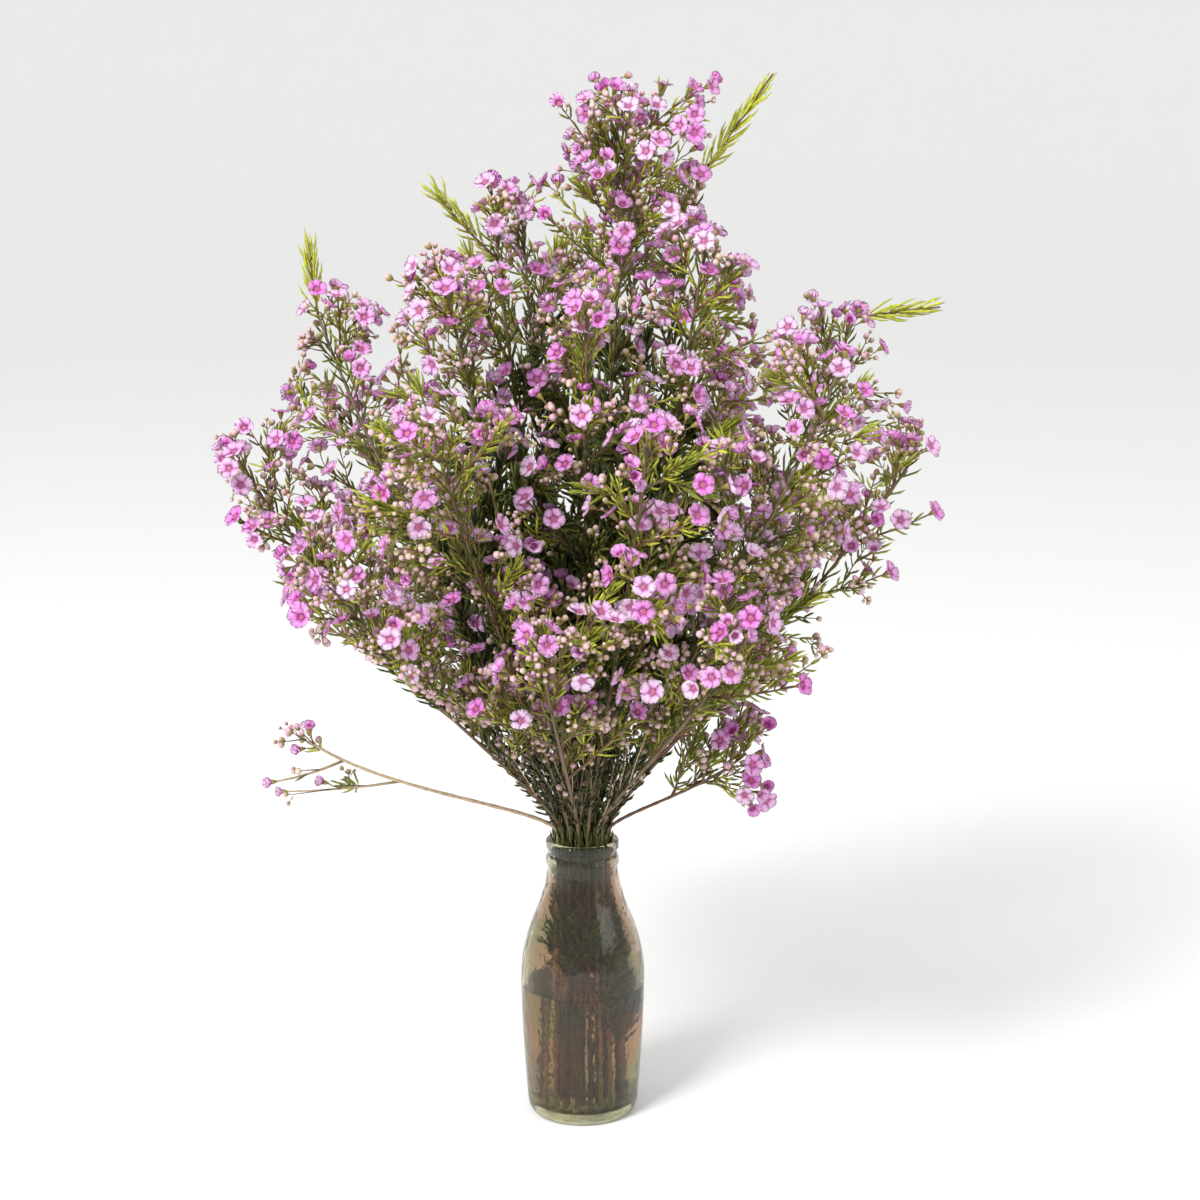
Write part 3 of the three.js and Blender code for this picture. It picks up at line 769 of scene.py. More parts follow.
def add_bloom(stem, rng, root, direction, length, twig):
    """One more flower, fully or half open, on a stalk of its own."""
    closed = rng.uniform(0.3, 0.85) if rng.random() < 0.3 else 0.0
    size = FLOWER_RADIUS * rng.uniform(0.84, 1.0)
    facts = {"root": root, "middle": root + direction * length, "direction": direction, "twig": twig}
    flower = {**facts, "size": size, "closed": closed, "ends_twig": False}
    if not seat_flower(stem, flower, 0.68, 0.6, 0.4, 1.2, FINE_APART, inside_low):
        return False
    flower["spin"] = rng.uniform(0, FULL_TURN)
    return True


def add_small_bud(stem, rng, root, direction, length, twig):
    """One more bud, on a stalk of its own."""
    size = BUD_RADIUS * rng.uniform(0.45, 1.0)
    top = root + direction * length
    middle = top - direction * size
    if not is_clear(middle, top, size, stem, 0.75, FINE_APART, inside_low):
        return False
    place(False, middle, top, size, stem)
    stem["buds"].append({"root": root, "middle": middle, "direction": direction, "size": size, "twig": twig})
    return True


def add_crown(stem, rng, twig, flowers, buds):
    """Flowers and then buds round the end of a branchlet, each a little lower down it than the last."""
    first = rng.uniform(0, FULL_TURN)
    for index in range(flowers + buds):
        root = twig["end"] - twig["way"] * (0.6 + CROWN_SPACING * index)
        tilt = 0.15 if index == 0 else rng.uniform(0.4, 0.9)
        add, stalks = (add_bloom, BLOOM_STALKS) if index < flowers else (add_small_bud, BUD_STALKS)
        length = rng.uniform(*stalks)
        for attempt in range(6):
            direction = leaving(twig["way"], tilt, first + GOLDEN_ANGLE * index + attempt)
            if add(stem, rng, root, direction, length, twig):
                break


def crown_branchlet(stem, rng, twig, most_flowers, likely):
    """Ends a branchlet in leaves, in a head of flowers, as likely as is said, or else in a spray of buds."""
    if twig is None:
        return
    low = min(1, max(0.08, (twig["end"][2] - HEADS_FROM) / HEADS_OVER))
    if stem["number"] == FLOWERING_SPRIG:
        likely, low = 0.3, 1.0
    if stem["number"] == BARE_SPRIG:
        likely = 0.0
    leafy = TOP_LEAFY_SHARE if stem["number"] < MIDDLE_STEMS else LEAFY_SHARE
    if rng.random() < (HEART_LEAFY if in_heart(twig["end"]) else leafy):
        twig["leafy"] = True
    elif rng.random() < likely * low:
        add_crown(stem, rng, twig, rng.integers(2, most_flowers + 1), rng.integers(0, 3))
    else:
        add_crown(stem, rng, twig, rng.binomial(1, 0.15 * low), rng.integers(2, 5))


def spread_over(count, chosen):
    """Goes round some stems count times. Gives each stem with its random numbers and a share of the way."""
    for index in range(count):
        for stem in chosen:
            rng = growth[stem["number"]]
            yield index, stem, rng, (index + rng.random()) / count


growth = [np.random.default_rng(SEED + stem["number"]) for stem in stems]
tips = [bend_point(stem, 1) for stem in stems]
tall = [stem for stem in stems if not stem["sprig"]]
outer = [stem for stem in tall if abs(tips[stem["number"]][0]) >= LOBE_REACH]
front = [stem for stem in tall if abs(tips[stem["number"]][0]) <= FRONT_WIDTH]
front = [stem for stem in front if tips[stem["number"]][1] <= -FRONT_REACH]

for flower in stems[BARE_SPRIG]["flowers"]:
    flower.update(size=0.8 * flower["size"], closed=0.9)
for needle in stems[BARE_SPRIG]["needles"]:
    needle.update(length=0.75 * needle["length"], bright=0.4)
for index, stem, rng, along in spread_over(CROWN_BRANCHLETS, stems[:1]):
    length, turn = rng.uniform(34, 60), GOLDEN_ANGLE * index + rng.uniform(-0.4, 0.4)
    twig = axis_branchlet(stem, 0.83 + 0.14 * along, length, turn, rng.uniform(0.4, 1.0), HEAD_ROOM)
    if twig:
        add_crown(stem, rng, twig, rng.integers(2, 5), rng.integers(0, 2))
for index, stem, rng, along in spread_over(LOBE_BRANCHLETS, outer):
    length, turn = rng.uniform(30, 66), rng.uniform(0, FULL_TURN)
    if stem["number"] < MIDDLE_STEMS:
        turn = math.copysign(math.pi / 2, tips[stem["number"]][0]) + rng.uniform(-0.8, 0.8)
    twig = axis_branchlet(stem, 0.36 + 0.6 * along, length, turn, rng.uniform(0.55, 1.05), HEAD_ROOM)
    crown_branchlet(stem, rng, twig, 4, 0.5)
for index, stem, rng, along in spread_over(TOP_BRANCHLETS, stems[:MIDDLE_STEMS]):
    length, turn = rng.uniform(16, 38), rng.uniform(0, FULL_TURN)
    twig = axis_branchlet(stem, 0.6 + 0.38 * along, length, turn, rng.uniform(0.35, 0.7), HEAD_ROOM)
    crown_branchlet(stem, rng, twig, 4, 0.85)
for index, stem, rng, along in spread_over(AXIS_BRANCHLETS, stems):
    share = stem["bare"] + (1 - stem["bare"]) * along
    thinned = in_heart(bend_point(stem, share)) and rng.random() < 0.3
    if thinned or (stem["number"] == BARE_SPRIG and index < BARE_SHOOTS):
        continue
    reach = SHORT_BRANCHLET + (LONG_BRANCHLET - SHORT_BRANCHLET) * math.sqrt(1 - share)
    length, turn = reach * rng.uniform(0.7, 1.1), rng.uniform(0, FULL_TURN)
    twig = axis_branchlet(stem, share, length, turn, rng.uniform(0.45, 0.8), 5)
    crown_branchlet(stem, rng, twig, 4, 0.16 + 0.3 * share)
for index in range(TWIG_BRANCHLETS):
    for stem, rng in zip(stems, growth):
        for parent in list(stem["twigs"]):
            left_out = 0.6 if stem["sprig"] else 0.5 if in_heart(parent["end"]) else 0.07
            if parent["length"] < 20 or parent["share"] == 1 or rng.random() < left_out:
                continue
            share = 0.25 + 0.65 * (index + rng.random()) / TWIG_BRANCHLETS
            start = parent["start"] + (parent["end"] - parent["start"]) * share
            start = start + parent["bow"] * 4 * share * (1 - share)
            length = min(0.5 * parent["length"], 34) * rng.uniform(0.7, 1.15)
            tilt, turn = rng.uniform(0.5, 0.85), rng.uniform(0, FULL_TURN)
            facts = start, parent["way"], length, turn, tilt, parent["share"], 2.6
            twig = add_branchlet(stem, *facts, radius=0.5)
            crown_branchlet(stem, rng, twig, 3, 0.05 + 0.22 * parent["share"])
for index, stem, rng, along in spread_over(LOW_SHOOTS, tall):
    share = stem["bare"] * (0.06 + 0.9 * along)
    length, turn = rng.uniform(28, 90), rng.uniform(0, FULL_TURN)
    twig = axis_branchlet(stem, share, length, turn, rng.uniform(0.06, 0.3), 1.8, radius=0.55, dry=True)
    if twig:
        add_crown(stem, rng, twig, 0, rng.integers(0, 3))
for index, stem, rng, along in spread_over(FRONT_BRANCHLETS, front):
    length, turn = rng.uniform(18, 52), rng.uniform(0, FULL_TURN)
    twig = axis_branchlet(stem, 0.45 + 0.4 * along, length, turn, rng.uniform(0.5, 1.1), 4)
    if twig:
        add_crown(stem, rng, twig, rng.integers(2, 4), rng.integers(1, 3))
for index, stem, rng, along in spread_over(SIDE_BRANCHLETS, stems[:1]):
    length, turn = rng.uniform(52, 74), -math.pi / 2 + rng.uniform(-0.5, 0.5)
    twig = axis_branchlet(stem, 0.8 + 0.13 * along, length, turn, rng.uniform(0.8, 1.1), 5)
    if twig:
        add_crown(stem, rng, twig, 4, 1)

for stem, rng in zip(stems, growth):
    foot, neck = stem["foot"], stem["bend"][0]
    for shoot in range(GLASS_SHOOTS if foot[0] > SHOOT_SIDE else 0):
        start = foot + (neck - foot) * rng.uniform(0.22, 0.55)
        aside = unit(np.array([foot[0] + 12.0, foot[1] + rng.uniform(-9.0, 9.0), 0.0]))
        way = unit(UP + aside * rng.uniform(0.25, 0.6))
        length = rng.uniform(22, 60)
        while math.hypot(*(start + way * length)[:2]) > inner_radius((start + way * length)[2]) - 3:
            length -= 2
        stem["twigs"].append(new_twig(start, start + way * length, way, UP, 0.5, 0.5, wet=True))

# ---- Needle leaves -------------------------------------------------------------------------------
# Waxflower has narrow, three-sided, waxy leaves in opposite pairs, each pair a quarter turn round from the
# # last. They are bright yellow-green on young leafy tips; deep in the bunch they get dark olive as painted
# shade.

HIGH_TWIG = 640.0
LONG_TWIG = 40.0
SPARSE = 1.6  # how much further apart pairs are on dry twigs and on the highest ones

# The pairs of leaves by where they grow: their spacing, and their lengths at its start and at its end.
LONG_TWIG_PAIRS = 6.0, (15, 11)
SHORT_TWIG_PAIRS = 6.0, (12, 9)
LEAFY_PAIRS = 3.0, (20, 15)
LEADER_PAIRS = 3.6, (23, 18)
HEART_PAIRS = 2.8, (20, 15)
WET_PAIRS = 2.4, (15, 12)
NECK_PAIRS = 2.2, (21, 15)
STEM_PAIRS = 7.0, (16, 16)
BARE_PAIRS = 8.0, (11, 11)

LEAF_STEPS = np.array([0.14, 0.68])
LEAF_RADII = np.array([0.8, 0.92])
HEART_GIRTH = 1.4  # how much thicker leaves are deep in the bunch
LEAF_BOW = 0.07  # how far a leaf arches, as a share of its length
# Leaf greens by tint: yellow-green is the young tips' own colour; the dark olive is partly painted shade.
LEAF_GREENS_AND_PAINTED_SHADE = [
    (0.0, (0.025, 0.032, 0.007)),
    (0.3, (0.095, 0.112, 0.014)),
    (0.6, (0.27, 0.295, 0.028)),
    (1.0, (0.62, 0.64, 0.06)),
]


def pairs_along(rng, start, end, bow, spacing, lengths, tilts, bright):
    """Pairs of needles along a stretch. Length, tilt and brightness run from a first value to a second."""
    length = math.dist(start, end)
    count = max(1, int(length / spacing))
    share = np.repeat((np.arange(count) + rng.random(count) * 0.5 + 0.25) / count, 2)
    way = unit(end - start)
    turn = rng.uniform(0, np.pi) + np.pi / 2 * np.repeat(np.arange(count), 2) + np.tile([0, np.pi], count)
    tilt = (tilts[0] + (tilts[1] - tilts[0]) * share) * rng.uniform(0.6, 1.4, 2 * count)
    direction = leaving(np.broadcast_to(way, (2 * count, 3)), tilt, turn + rng.uniform(-0.5, 0.5, 2 * count))
    root = start + (end - start) * share[:, None] + bow * (4 * share * (1 - share))[:, None]
    reach = (lengths[0] + (lengths[1] - lengths[0]) * share) * rng.uniform(0.8, 1.15, 2 * count)
    first, last = np.broadcast_to(bright, 2)
    shade = first + (last - first) * share + rng.uniform(-0.16, 0.16, 2 * count)
    return {"root": root, "direction": direction, "length": reach, "away": direction - way, "bright": shade}


def leaves_of(stem, rng):
    """The pairs of needles of a stem, as arrays: those along its twigs, its axis and its part in the neck."""
    found = []
    for twig in stem["twigs"]:
        start, end, way, dry = twig["start"], twig["end"], twig["way"], twig["dry"]
        leader = twig["share"] == 1
        if twig["leafy"]:
            near = start + (end - start) * (0.05 if leader else 0.3)
            tip_brightness = 0.95 if leader else rng.uniform(0.5, 0.9)
            # Painted shade: leafy tips deep in the bunch are made dark.
            if in_heart(end):
                tip_brightness = 0.2
            pairs = LEADER_PAIRS if leader else LEAFY_PAIRS
            found.append(pairs_along(rng, near, end, 0 * way, *pairs, (0.46, 0.12), tip_brightness))
            end = near
        spacing, lengths = LONG_TWIG_PAIRS if twig["length"] > LONG_TWIG and not dry else SHORT_TWIG_PAIRS
        pairs = spacing * (SPARSE if dry or start[2] > HIGH_TWIG else 1), lengths
        deep = 0.08 if dry else 0.26 + 0.38 * twig["share"] + rng.uniform(-0.24, 0.3)
        # Twigs further up a stem get brighter leaves; deep in the bunch the leaves are made darker as painted
        # shade.
        if in_heart(end) and not dry:
            pairs, deep = HEART_PAIRS, 0.4 * deep
        if twig["wet"]:
            pairs, deep = WET_PAIRS, rng.uniform(0.25, 0.7)
        short = end - way * (0 if twig["leafy"] else 7)
        from_root = start + way * 3
        if (short - from_root) @ way > 3 and stem["number"] != BARE_SPRIG:
            found.append(pairs_along(rng, from_root, short, twig["bow"], *pairs, (0.62, 0.5), deep))
    bare = stem["bare"]
    for low, high in () if stem["sprig"] else ((0.02, 0.4 * bare), (0.4 * bare, bare), (bare, 0.97)):
        pairs, tilt, green = (BARE_PAIRS, 0.3, 0.12) if high <= bare else (STEM_PAIRS, 0.5, 0.3)
        stops = np.linspace(low, high, 4)
        for here, after in zip(stops, stops[1:]):
            start, end = bend_point(stem, here), bend_point(stem, after)
            found.append(pairs_along(rng, start, end, 0 * start, *pairs, (tilt, tilt), green))
    neck, foot = stem["bend"][0], stem["foot"]
    low_end = foot + (neck - foot) * rng.uniform(0.3, 0.6)
    # The leaves in the bottle run from lighter low down to dark at the neck.
    green = rng.uniform(0.35, 0.8), 0.15
    found.append(pairs_along(rng, low_end, neck, 0 * neck, *NECK_PAIRS, (0.8, 0.2), green))
    return {key: np.concatenate([part[key] for part in found]) for key in found[0]}


def keep_leaves(leaves, blooms, sprig):
    """Leaves that stay within the bunch or the bottle, and that don't cross a flower's cup."""
    tip = leaves["root"] + leaves["direction"] * leaves["length"][:, None]
    out, level = np.hypot(tip[:, 0], tip[:, 1]), tip[:, 2]
    cone = np.minimum(NECK_LEVEL + (out - COLLAR_RADIUS) / COLLAR_SLOPE, UNDERSIDE + UNDERSIDE_RISE * out)
    free = (level > cone) & (np.abs(tip[:, 0]) < SPREAD_X) & (np.abs(tip[:, 1]) < SPREAD_Y) & (level < TOP)
    if sprig:
        free = level > NECK_LEVEL + 4
    in_glass = (level < BOTTLE_HEIGHT + 2) & (out < inner_radius(np.minimum(level, 205)) - 0.8)
    rising = (level >= BOTTLE_HEIGHT + 2) & (out < INNER_NECK)
    kept = free | in_glass | rising
    for share in (0.35, 0.65, 1.0):
        point = leaves["root"] + leaves["direction"] * (leaves["length"] * share)[:, None]
        offset = point[:, None] - blooms["middle"][None]
        height = (offset * blooms["direction"][None]).sum(-1)
        radial = np.sqrt(np.maximum(0, (offset * offset).sum(-1) - height * height))
        kept &= ~((np.abs(height - 1.2) < 2.6) & (radial < blooms["size"] * 0.92)).any(1)
    return {key: value[kept] for key, value in leaves.items()}


def tubes(paths, radii, sides):
    """Closed tubes along paths (tubes, points, 3): rings square to the path, and a pole at each end."""
    first, last = paths[:, :1], paths[:, -1:]
    tangent = unit(np.concatenate([paths[:, 1:], last], 1) - np.concatenate([first, paths[:, :-1]], 1))
    side = across(unit(last - first)[:, 0])[0][:, None]
    right = unit(side - tangent * (side * tangent).sum(-1, keepdims=True))
    turn = turns(sides)[:, None]
    ring = right[:, :, None] * np.cos(turn) + cross(tangent, right)[:, :, None] * np.sin(turn)
    rings = paths[:, :, None] + ring * radii[:, :, None, None]
    return np.concatenate([first, rings.reshape(len(paths), -1, 3), last], 1)


def needle_shapes(leaves):
    """Three-sided leaves, pointed at both ends. Each arches away from its twig and turns up at its tip."""
    away = unit(leaves["away"] + 1e-6)
    length = leaves["length"][:, None, None]
    along = np.array([0.0, *LEAF_STEPS, 1.0])[None, :, None]
    path = leaves["root"][:, None] + leaves["direction"][:, None] * length * along
    path = path + away[:, None] * length * (LEAF_BOW * 4 * along * (1 - along))
    radii = LEAF_RADII * np.where(in_heart(leaves["root"]), HEART_GIRTH, 1.0)[:, None]
    body = tubes(path[:, 1:-1], radii, 3)
    return np.concatenate([path[:, :1], body[:, 1:-1], path[:, -1:]], 1)


def mottle_group():
    """A node group: blotches of a second colour by a noise on Object coordinates, and their height."""
    group = bpy.data.node_groups.new("mottle", "ShaderNodeTree")
    entries = [("Colour", "Color"), ("Spot colour", "Color"), ("Scale", "Float"), ("Amount", "Float")]
    for name, kind in entries:
        group.interface.new_socket(name, in_out="INPUT", socket_type="NodeSocket" + kind)
    group.interface.new_socket("Colour", in_out="OUTPUT", socket_type="NodeSocketColor")
    group.interface.new_socket("Height", in_out="OUTPUT", socket_type="NodeSocketFloat")
    entry, leave = group.nodes.new("NodeGroupInput"), group.nodes.new("NodeGroupOutput")
    place = add_node(group, "TexCoord")
    noise = add_node(group, "TexNoise", Detail=3)
    spots = add_node(group, "MapRange", From_Min=0.4, From_Max=0.66)
    strength = add_node(group, "Math", operation="MULTIPLY")
    mix = add_node(group, "Mix", data_type="RGBA")
    chain(group, place, "Object > Vector", noise, "Fac > Value", spots, "Result > Value", strength)
    chain(group, entry, "Scale > Scale", noise, "Fac > Height", leave)
    group.links.new(entry.outputs["Amount"], strength.inputs[1])
    chain(group, strength, "Value > Factor", mix)
    chain(group, entry, "Spot colour > B", mix)
    chain(group, entry, "Colour > A", mix, "Result > Colour", leave)
    return group


mottle = mottle_group()


def mottled(tree, shader, colour, spot_colour, scale, amount, bump_height):
    """Puts a colour through the mottle group into the shader, with a bump of the same noise."""
    group = add_node(tree, "Group", node_tree=mottle, Spot_colour=spot_colour, Scale=scale, Amount=amount)
    bump = add_node(tree, "Bump", Strength=0.6, Distance=bump_height)
    tree.links.new(colour, group.inputs["Colour"])
    chain(tree, group, "Colour > Base Color", shader)
    chain(tree, group, "Height > Height", bump, "Normal > Normal", shader)


def along_ramp(tree, stops):
    """A colour ramp that runs along the piece's U."""
    place = add_node(tree, "UVMap", uv_map="along_and_round")
    ramp = ramp_of(tree, stops)
    chain(tree, place, "UV > Vector", add_node(tree, "SeparateXYZ"), "X > Fac", ramp)
    return ramp


def tint_of(tree):
    """The node that reads a piece's tint, from 0 to 1."""
    return add_node(tree, "Attribute", attribute_name="tint")


def waxy_leaf():
    """Green by the tint, from dark olive to yellow-green, with a paler foot, faint blotches and a gloss. The
    dark olive is partly painted shade, given to leaves deep in the bunch.
    """
    wax = {"Roughness": 0.42, "Specular_IOR_Level": 0.3}
    flesh = {"Subsurface_Weight": 0.12, "Subsurface_Radius": (0.6, 1.0, 0.2), "Subsurface_Scale": 0.0008}
    material, tree, shader = new_material("waxy_leaf", **wax, **flesh)
    shade = ramp_of(tree, LEAF_GREENS_AND_PAINTED_SHADE)
    foot = along_ramp(tree, [(0.0, (0.45,) * 3), (0.3, (0,) * 3), (0.86, (0,) * 3), (1.0, (0.3,) * 3)])
    pale = add_node(tree, "Mix", data_type="RGBA", B=(0.34, 0.27, 0.09))
    chain(tree, tint_of(tree), "Fac > Fac", shade, "Color > A", pale)
    chain(tree, foot, "Color > Factor", pale)
    mottled(tree, shader, pale.outputs["Result"], (0.05, 0.06, 0.02), 420, 0.35, 0.0002)
    return material


leaf = waxy_leaf()

# ---- Wood ----------------------------------------------------------------------------------------
# The stems are woody and grey-brown, with a scar at each pair of leaves. The twigs are redder, and the
# thinnest ones and the flower stalks are still green.

AXIS_SIDES = 8
AXIS_RINGS = 26
TWIG_SIDES = 6
TWIG_RINGS = 5
BRANCHLET_SIDES = 4
BRANCHLET_RINGS = 3
STALK_SIDES = 3
STALK_RINGS = 3
AXIS_FOOT_RADIUS = 1.55
SPRIG_FOOT_RADIUS = 1.85
AXIS_TIP_RADIUS = 1.0
NODE_SWELLING = 0.1
PAINTED_LIGHT_LEVELS = (40, 215)  # where a stem goes from painted light low in the bottle to its own colour
TWIG_TAPER = (1.05, 0.62)
STALK_RADII = (0.42, 0.6)
STALK_SAG = 0.05
FLOWER_DEPTH = 0.42  # how far below a flower's middle its stalk ends, as a share of its size
BUD_DEPTH = 0.9
# Bark colours by tint. The pale tan at 1 is painted light, for stems seen in the bottle.
BARKS_AND_PAINTED_LIGHT = [
    (0.0, (0.2, 0.21, 0.05)),
    (0.3, (0.24, 0.13, 0.05)),
    (0.55, (0.17, 0.07, 0.035)),
    (0.78, (0.17, 0.12, 0.07)),
    (1.0, (0.85, 0.64, 0.4)),
]


def twig_bark():
    """Bark by the tint, with fine flecks: 0 is a green stalk, 0.5 a red-brown twig, 0.8 a grey-brown stem and
    1 a pale tan, painted light that brightens the stems in the bottle, where little light reaches them."""
    material, tree, shader = new_material("twig_bark", Roughness=0.62)
    shade = ramp_of(tree, BARKS_AND_PAINTED_LIGHT)
    chain(tree, tint_of(tree), "Fac > Fac", shade)
    mottled(tree, shader, shade.outputs["Color"], (0.05, 0.035, 0.022), 330, 0.36, 0.0004)
    return material


bark = twig_bark()


def stem_wood(stem, rng):
    """The stem's own axis: straight in the bottle, then along its bend. It thins, and swells at its nodes.
    Low in the bottle its tint is raised towards pale tan, as painted light.
    """
    neck, foot = stem["bend"][0], stem["foot"]
    straight = foot + (neck - foot) * np.linspace(0, 1, 9)[:-1, None]
    bent = np.array([bend_point(stem, share) for share in np.linspace(0, 1, AXIS_RINGS)])
    path = np.vstack([straight, bent])[None]
    share = np.linspace(0, 1, path.shape[1])
    nodes = 1 + NODE_SWELLING * np.cos(np.pi * np.arange(path.shape[1]) + rng.uniform(0, 1))
    dry = stem["number"] == BARE_SPRIG
    foot_radius = SPRIG_FOOT_RADIUS if dry else AXIS_FOOT_RADIUS
    radii = (foot_radius + (AXIS_TIP_RADIUS - foot_radius) * share) * nodes
    points = tubes(path, radii[None], AXIS_SIDES)
    above = 0.9 if dry else rng.uniform(0.6, 0.84)
    # Painted light: the stem's tint is raised low in the bottle, where little light reaches it through the
    # glass.
    painted_light_tint = np.interp(points[..., 2], PAINTED_LIGHT_LEVELS, (rng.uniform(0.62, 1.0), above))
    return layer(points, *skin(path.shape[1], AXIS_SIDES), bark, painted_light_tint)


def twig_wood(stem, rng, twigs, rings, sides):
    """The twigs: each runs along its arch from inside its parent, and thins towards its end."""
    share = np.linspace(0, 1, rings)[None, :, None]
    start, end, bow = (np.array([twig[key] for twig in twigs]) for key in ("start", "end", "bow"))
    for row, twig in enumerate(twigs):
        for flower in stem["flowers"]:
            if flower["ends_twig"] and flower["twig"] is twig:
                end[row] = flower["middle"] - flower["direction"] * 3.6
    path = start[:, None] + (end - start)[:, None] * share + bow[:, None] * (4 * share * (1 - share))
    radius = np.array([twig["radius"] for twig in twigs])[:, None]
    radii = radius * np.linspace(*TWIG_TAPER, rings) * rng.uniform(0.92, 1.08, (len(path), rings))
    dry = np.array([twig["dry"] for twig in twigs])
    young = 0.18 + 0.42 * radius[:, 0] + (0.26 if stem["number"] == BARE_SPRIG else 0)
    tint = np.where(dry, 0.84, young) + rng.uniform(-0.12, 0.12, len(path))
    return layer(tubes(path, radii, sides), *skin(rings, sides), bark, tint)


def on_its_twig(item):
    """A root, moved from a twig's straight line onto its arch."""
    twig = item["twig"]
    share = min(1, max(0, (item["root"] - twig["start"]) @ twig["way"] / twig["length"]))
    return item["root"] + twig["bow"] * 4 * share * (1 - share)


def stalk_wood(carried, depth, pointed, rng):
    """The stalks of flowers or buds: from the middle of the twig to inside the calyx, in a slight curve. The
    pointed ones keep only their middle ring, between the two poles."""
    root = np.array([on_its_twig(item) for item in carried])
    top = np.array([item["middle"] - item["direction"] * depth * item["size"] for item in carried])
    share = np.linspace(0, 1, STALK_RINGS)[None, :, None]
    length = np.sqrt(((top - root) ** 2).sum(-1))[:, None, None]
    sag = UP * (STALK_SAG * 4 * share * (1 - share)) * length
    path = root[:, None] + (top - root)[:, None] * share - sag
    radii = np.broadcast_to(np.linspace(*STALK_RADII, STALK_RINGS), path.shape[:2])
    points, rings = tubes(path, radii, STALK_SIDES), STALK_RINGS
    if pointed:
        points, rings = points[:, [0, 4, 5, 6, -1]], 1
    return layer(points, *skin(rings, STALK_SIDES), bark, rng.uniform(0.0, 0.32, len(path)))


# ---- Open flowers --------------------------------------------------------------------------------
# Five broad, rounded, waxy petals overlap in a shallow cup over a small green calyx. They are deep magenta
# at the foot and paler mauve-pink at the rim, round a dark nectar disc with a ring of stamens and a style.

PETALS = 5
PETAL_ALONG = np.array([0.0, 0.46, 1.0])
PETAL_ACROSS = np.array([-1.0, -0.5, 0.0, 0.5, 1.0])
PETAL_HALF_WIDTH = np.array([0.9, 4.4, 4.0])
PETAL_FOOT = 1.3  # the radius of the ring that the petals stand on
PETAL_LENGTH = 7.2
PETAL_ROUNDING = 1.9  # how much shorter a petal is at its corners
PETAL_THICKNESS = 0.3
CUP_SIDES = 6
CUP_PROFILE = np.array([(0, -5.5), (0.9, -4.9), (2.3, -0.8), (2.5, 0.2), (1.4, 0.55), (0, 0.35)])
STAMENS = 6
STAMEN_RING = 1.1
STAMEN_TIPS = 2.0
STYLE_HEIGHT = 3.1
DEEP_PETAL = [
    (0.0, (0.5, 0.03, 0.28)),
    (0.12, (0.64, 0.08, 0.46)),
    (0.36, (0.7, 0.16, 0.58)),
    (1.0, (0.76, 0.27, 0.67)),
]
LIGHT_PETAL = [
    (0.0, (0.64, 0.12, 0.42)),
    (0.1, (0.76, 0.3, 0.64)),
    (0.3, (0.82, 0.48, 0.77)),
    (1.0, (0.9, 0.7, 0.88)),
]
CUP_COLOURS = [
    (0.0, (0.15, 0.17, 0.03)),
    (0.45, (0.26, 0.24, 0.05)),
    (0.62, (0.36, 0.2, 0.09)),
    (0.78, (0.5, 0.12, 0.26)),
    (1.0, (0.46, 0.07, 0.22)),
]
STAMEN_COLOURS = [(0.0, (0.62, 0.16, 0.4)), (0.5, (0.8, 0.5, 0.62)), (1.0, (0.85, 0.75, 0.55))]


def petal_faces():
    """A petal's faces: a grid of 3 by 5 points above, and below it the same rim round one lower point."""
    grid = np.arange(15).reshape(3, 5)
    top = np.stack([grid[:-1, :-1], grid[1:, :-1], grid[1:, 1:], grid[:-1, 1:]], -1).reshape(-1, 4)
    rim = np.array([0, 1, 2, 3, 4, 9, 14, 13, 12, 11, 10, 5])
    under = np.stack([rim, np.roll(rim, -1), np.full(12, 15)], -1)
    along, aside = np.meshgrid(PETAL_ALONG, (PETAL_ACROSS + 1) / 2, indexing="ij")
    place = np.vstack([np.stack([along, aside], -1).reshape(15, 2), [(PETAL_ALONG[1], 0.5)]])
    return [top, under], [place[top], place[under]]


def petal_shapes(flowers, rng):
    """Petals as surfaces r(u), y(u, v), z(u, v): the rim is raised by u to the power 1.4, the edges by v
    squared, and one edge over the next petal's by v. Half-open flowers have them turned up at the foot."""
    count = len(flowers["size"])
    u, v = (grid[None, None] for grid in np.meshgrid(PETAL_ALONG, PETAL_ACROSS, indexing="ij"))
    wave = rng.uniform(0, FULL_TURN, (count, PETALS, 1, 1))
    stretch = rng.uniform(0.95, 1.03, (count, PETALS, 1, 1))
    out = PETAL_LENGTH * stretch * u - PETAL_ROUNDING * v**2 * u**4
    width = PETAL_HALF_WIDTH[None, None, :, None] * v * np.ones_like(wave)
    rise = (CUP_DEPTH - 0.25) * u**1.4 + 0.5 * v**2 * np.sin(np.pi * u * 0.9)
    rise = rise + 0.38 * v * np.minimum(1, 3 * u) + 0.3 * u**2 * np.sin(3 * v + wave)
    bend = (flowers["closed"][:, None] + rng.uniform(-0.1, 0.14, (count, PETALS)))[:, :, None, None]

    def turned_up(rise):
        radius = PETAL_FOOT + out * np.cos(bend) - rise * np.sin(bend)
        height = 0.25 + out * np.sin(bend) + rise * np.cos(bend)
        return np.stack([radius, width, height], -1)

    under = turned_up(rise - PETAL_THICKNESS)[:, :, 1:2, 2]
    local = np.concatenate([turned_up(rise).reshape(count, PETALS, 15, 3), under], 2)
    turn = flowers["spin"][:, None] + turns(PETALS) + rng.uniform(-0.06, 0.06, (count, PETALS))
    cosine, sine = np.cos(turn)[..., None], np.sin(turn)[..., None]
    spun = [local[..., 0] * cosine - local[..., 1] * sine, local[..., 0] * sine + local[..., 1] * cosine]
    return np.stack([*spun, local[..., 2]], -1)


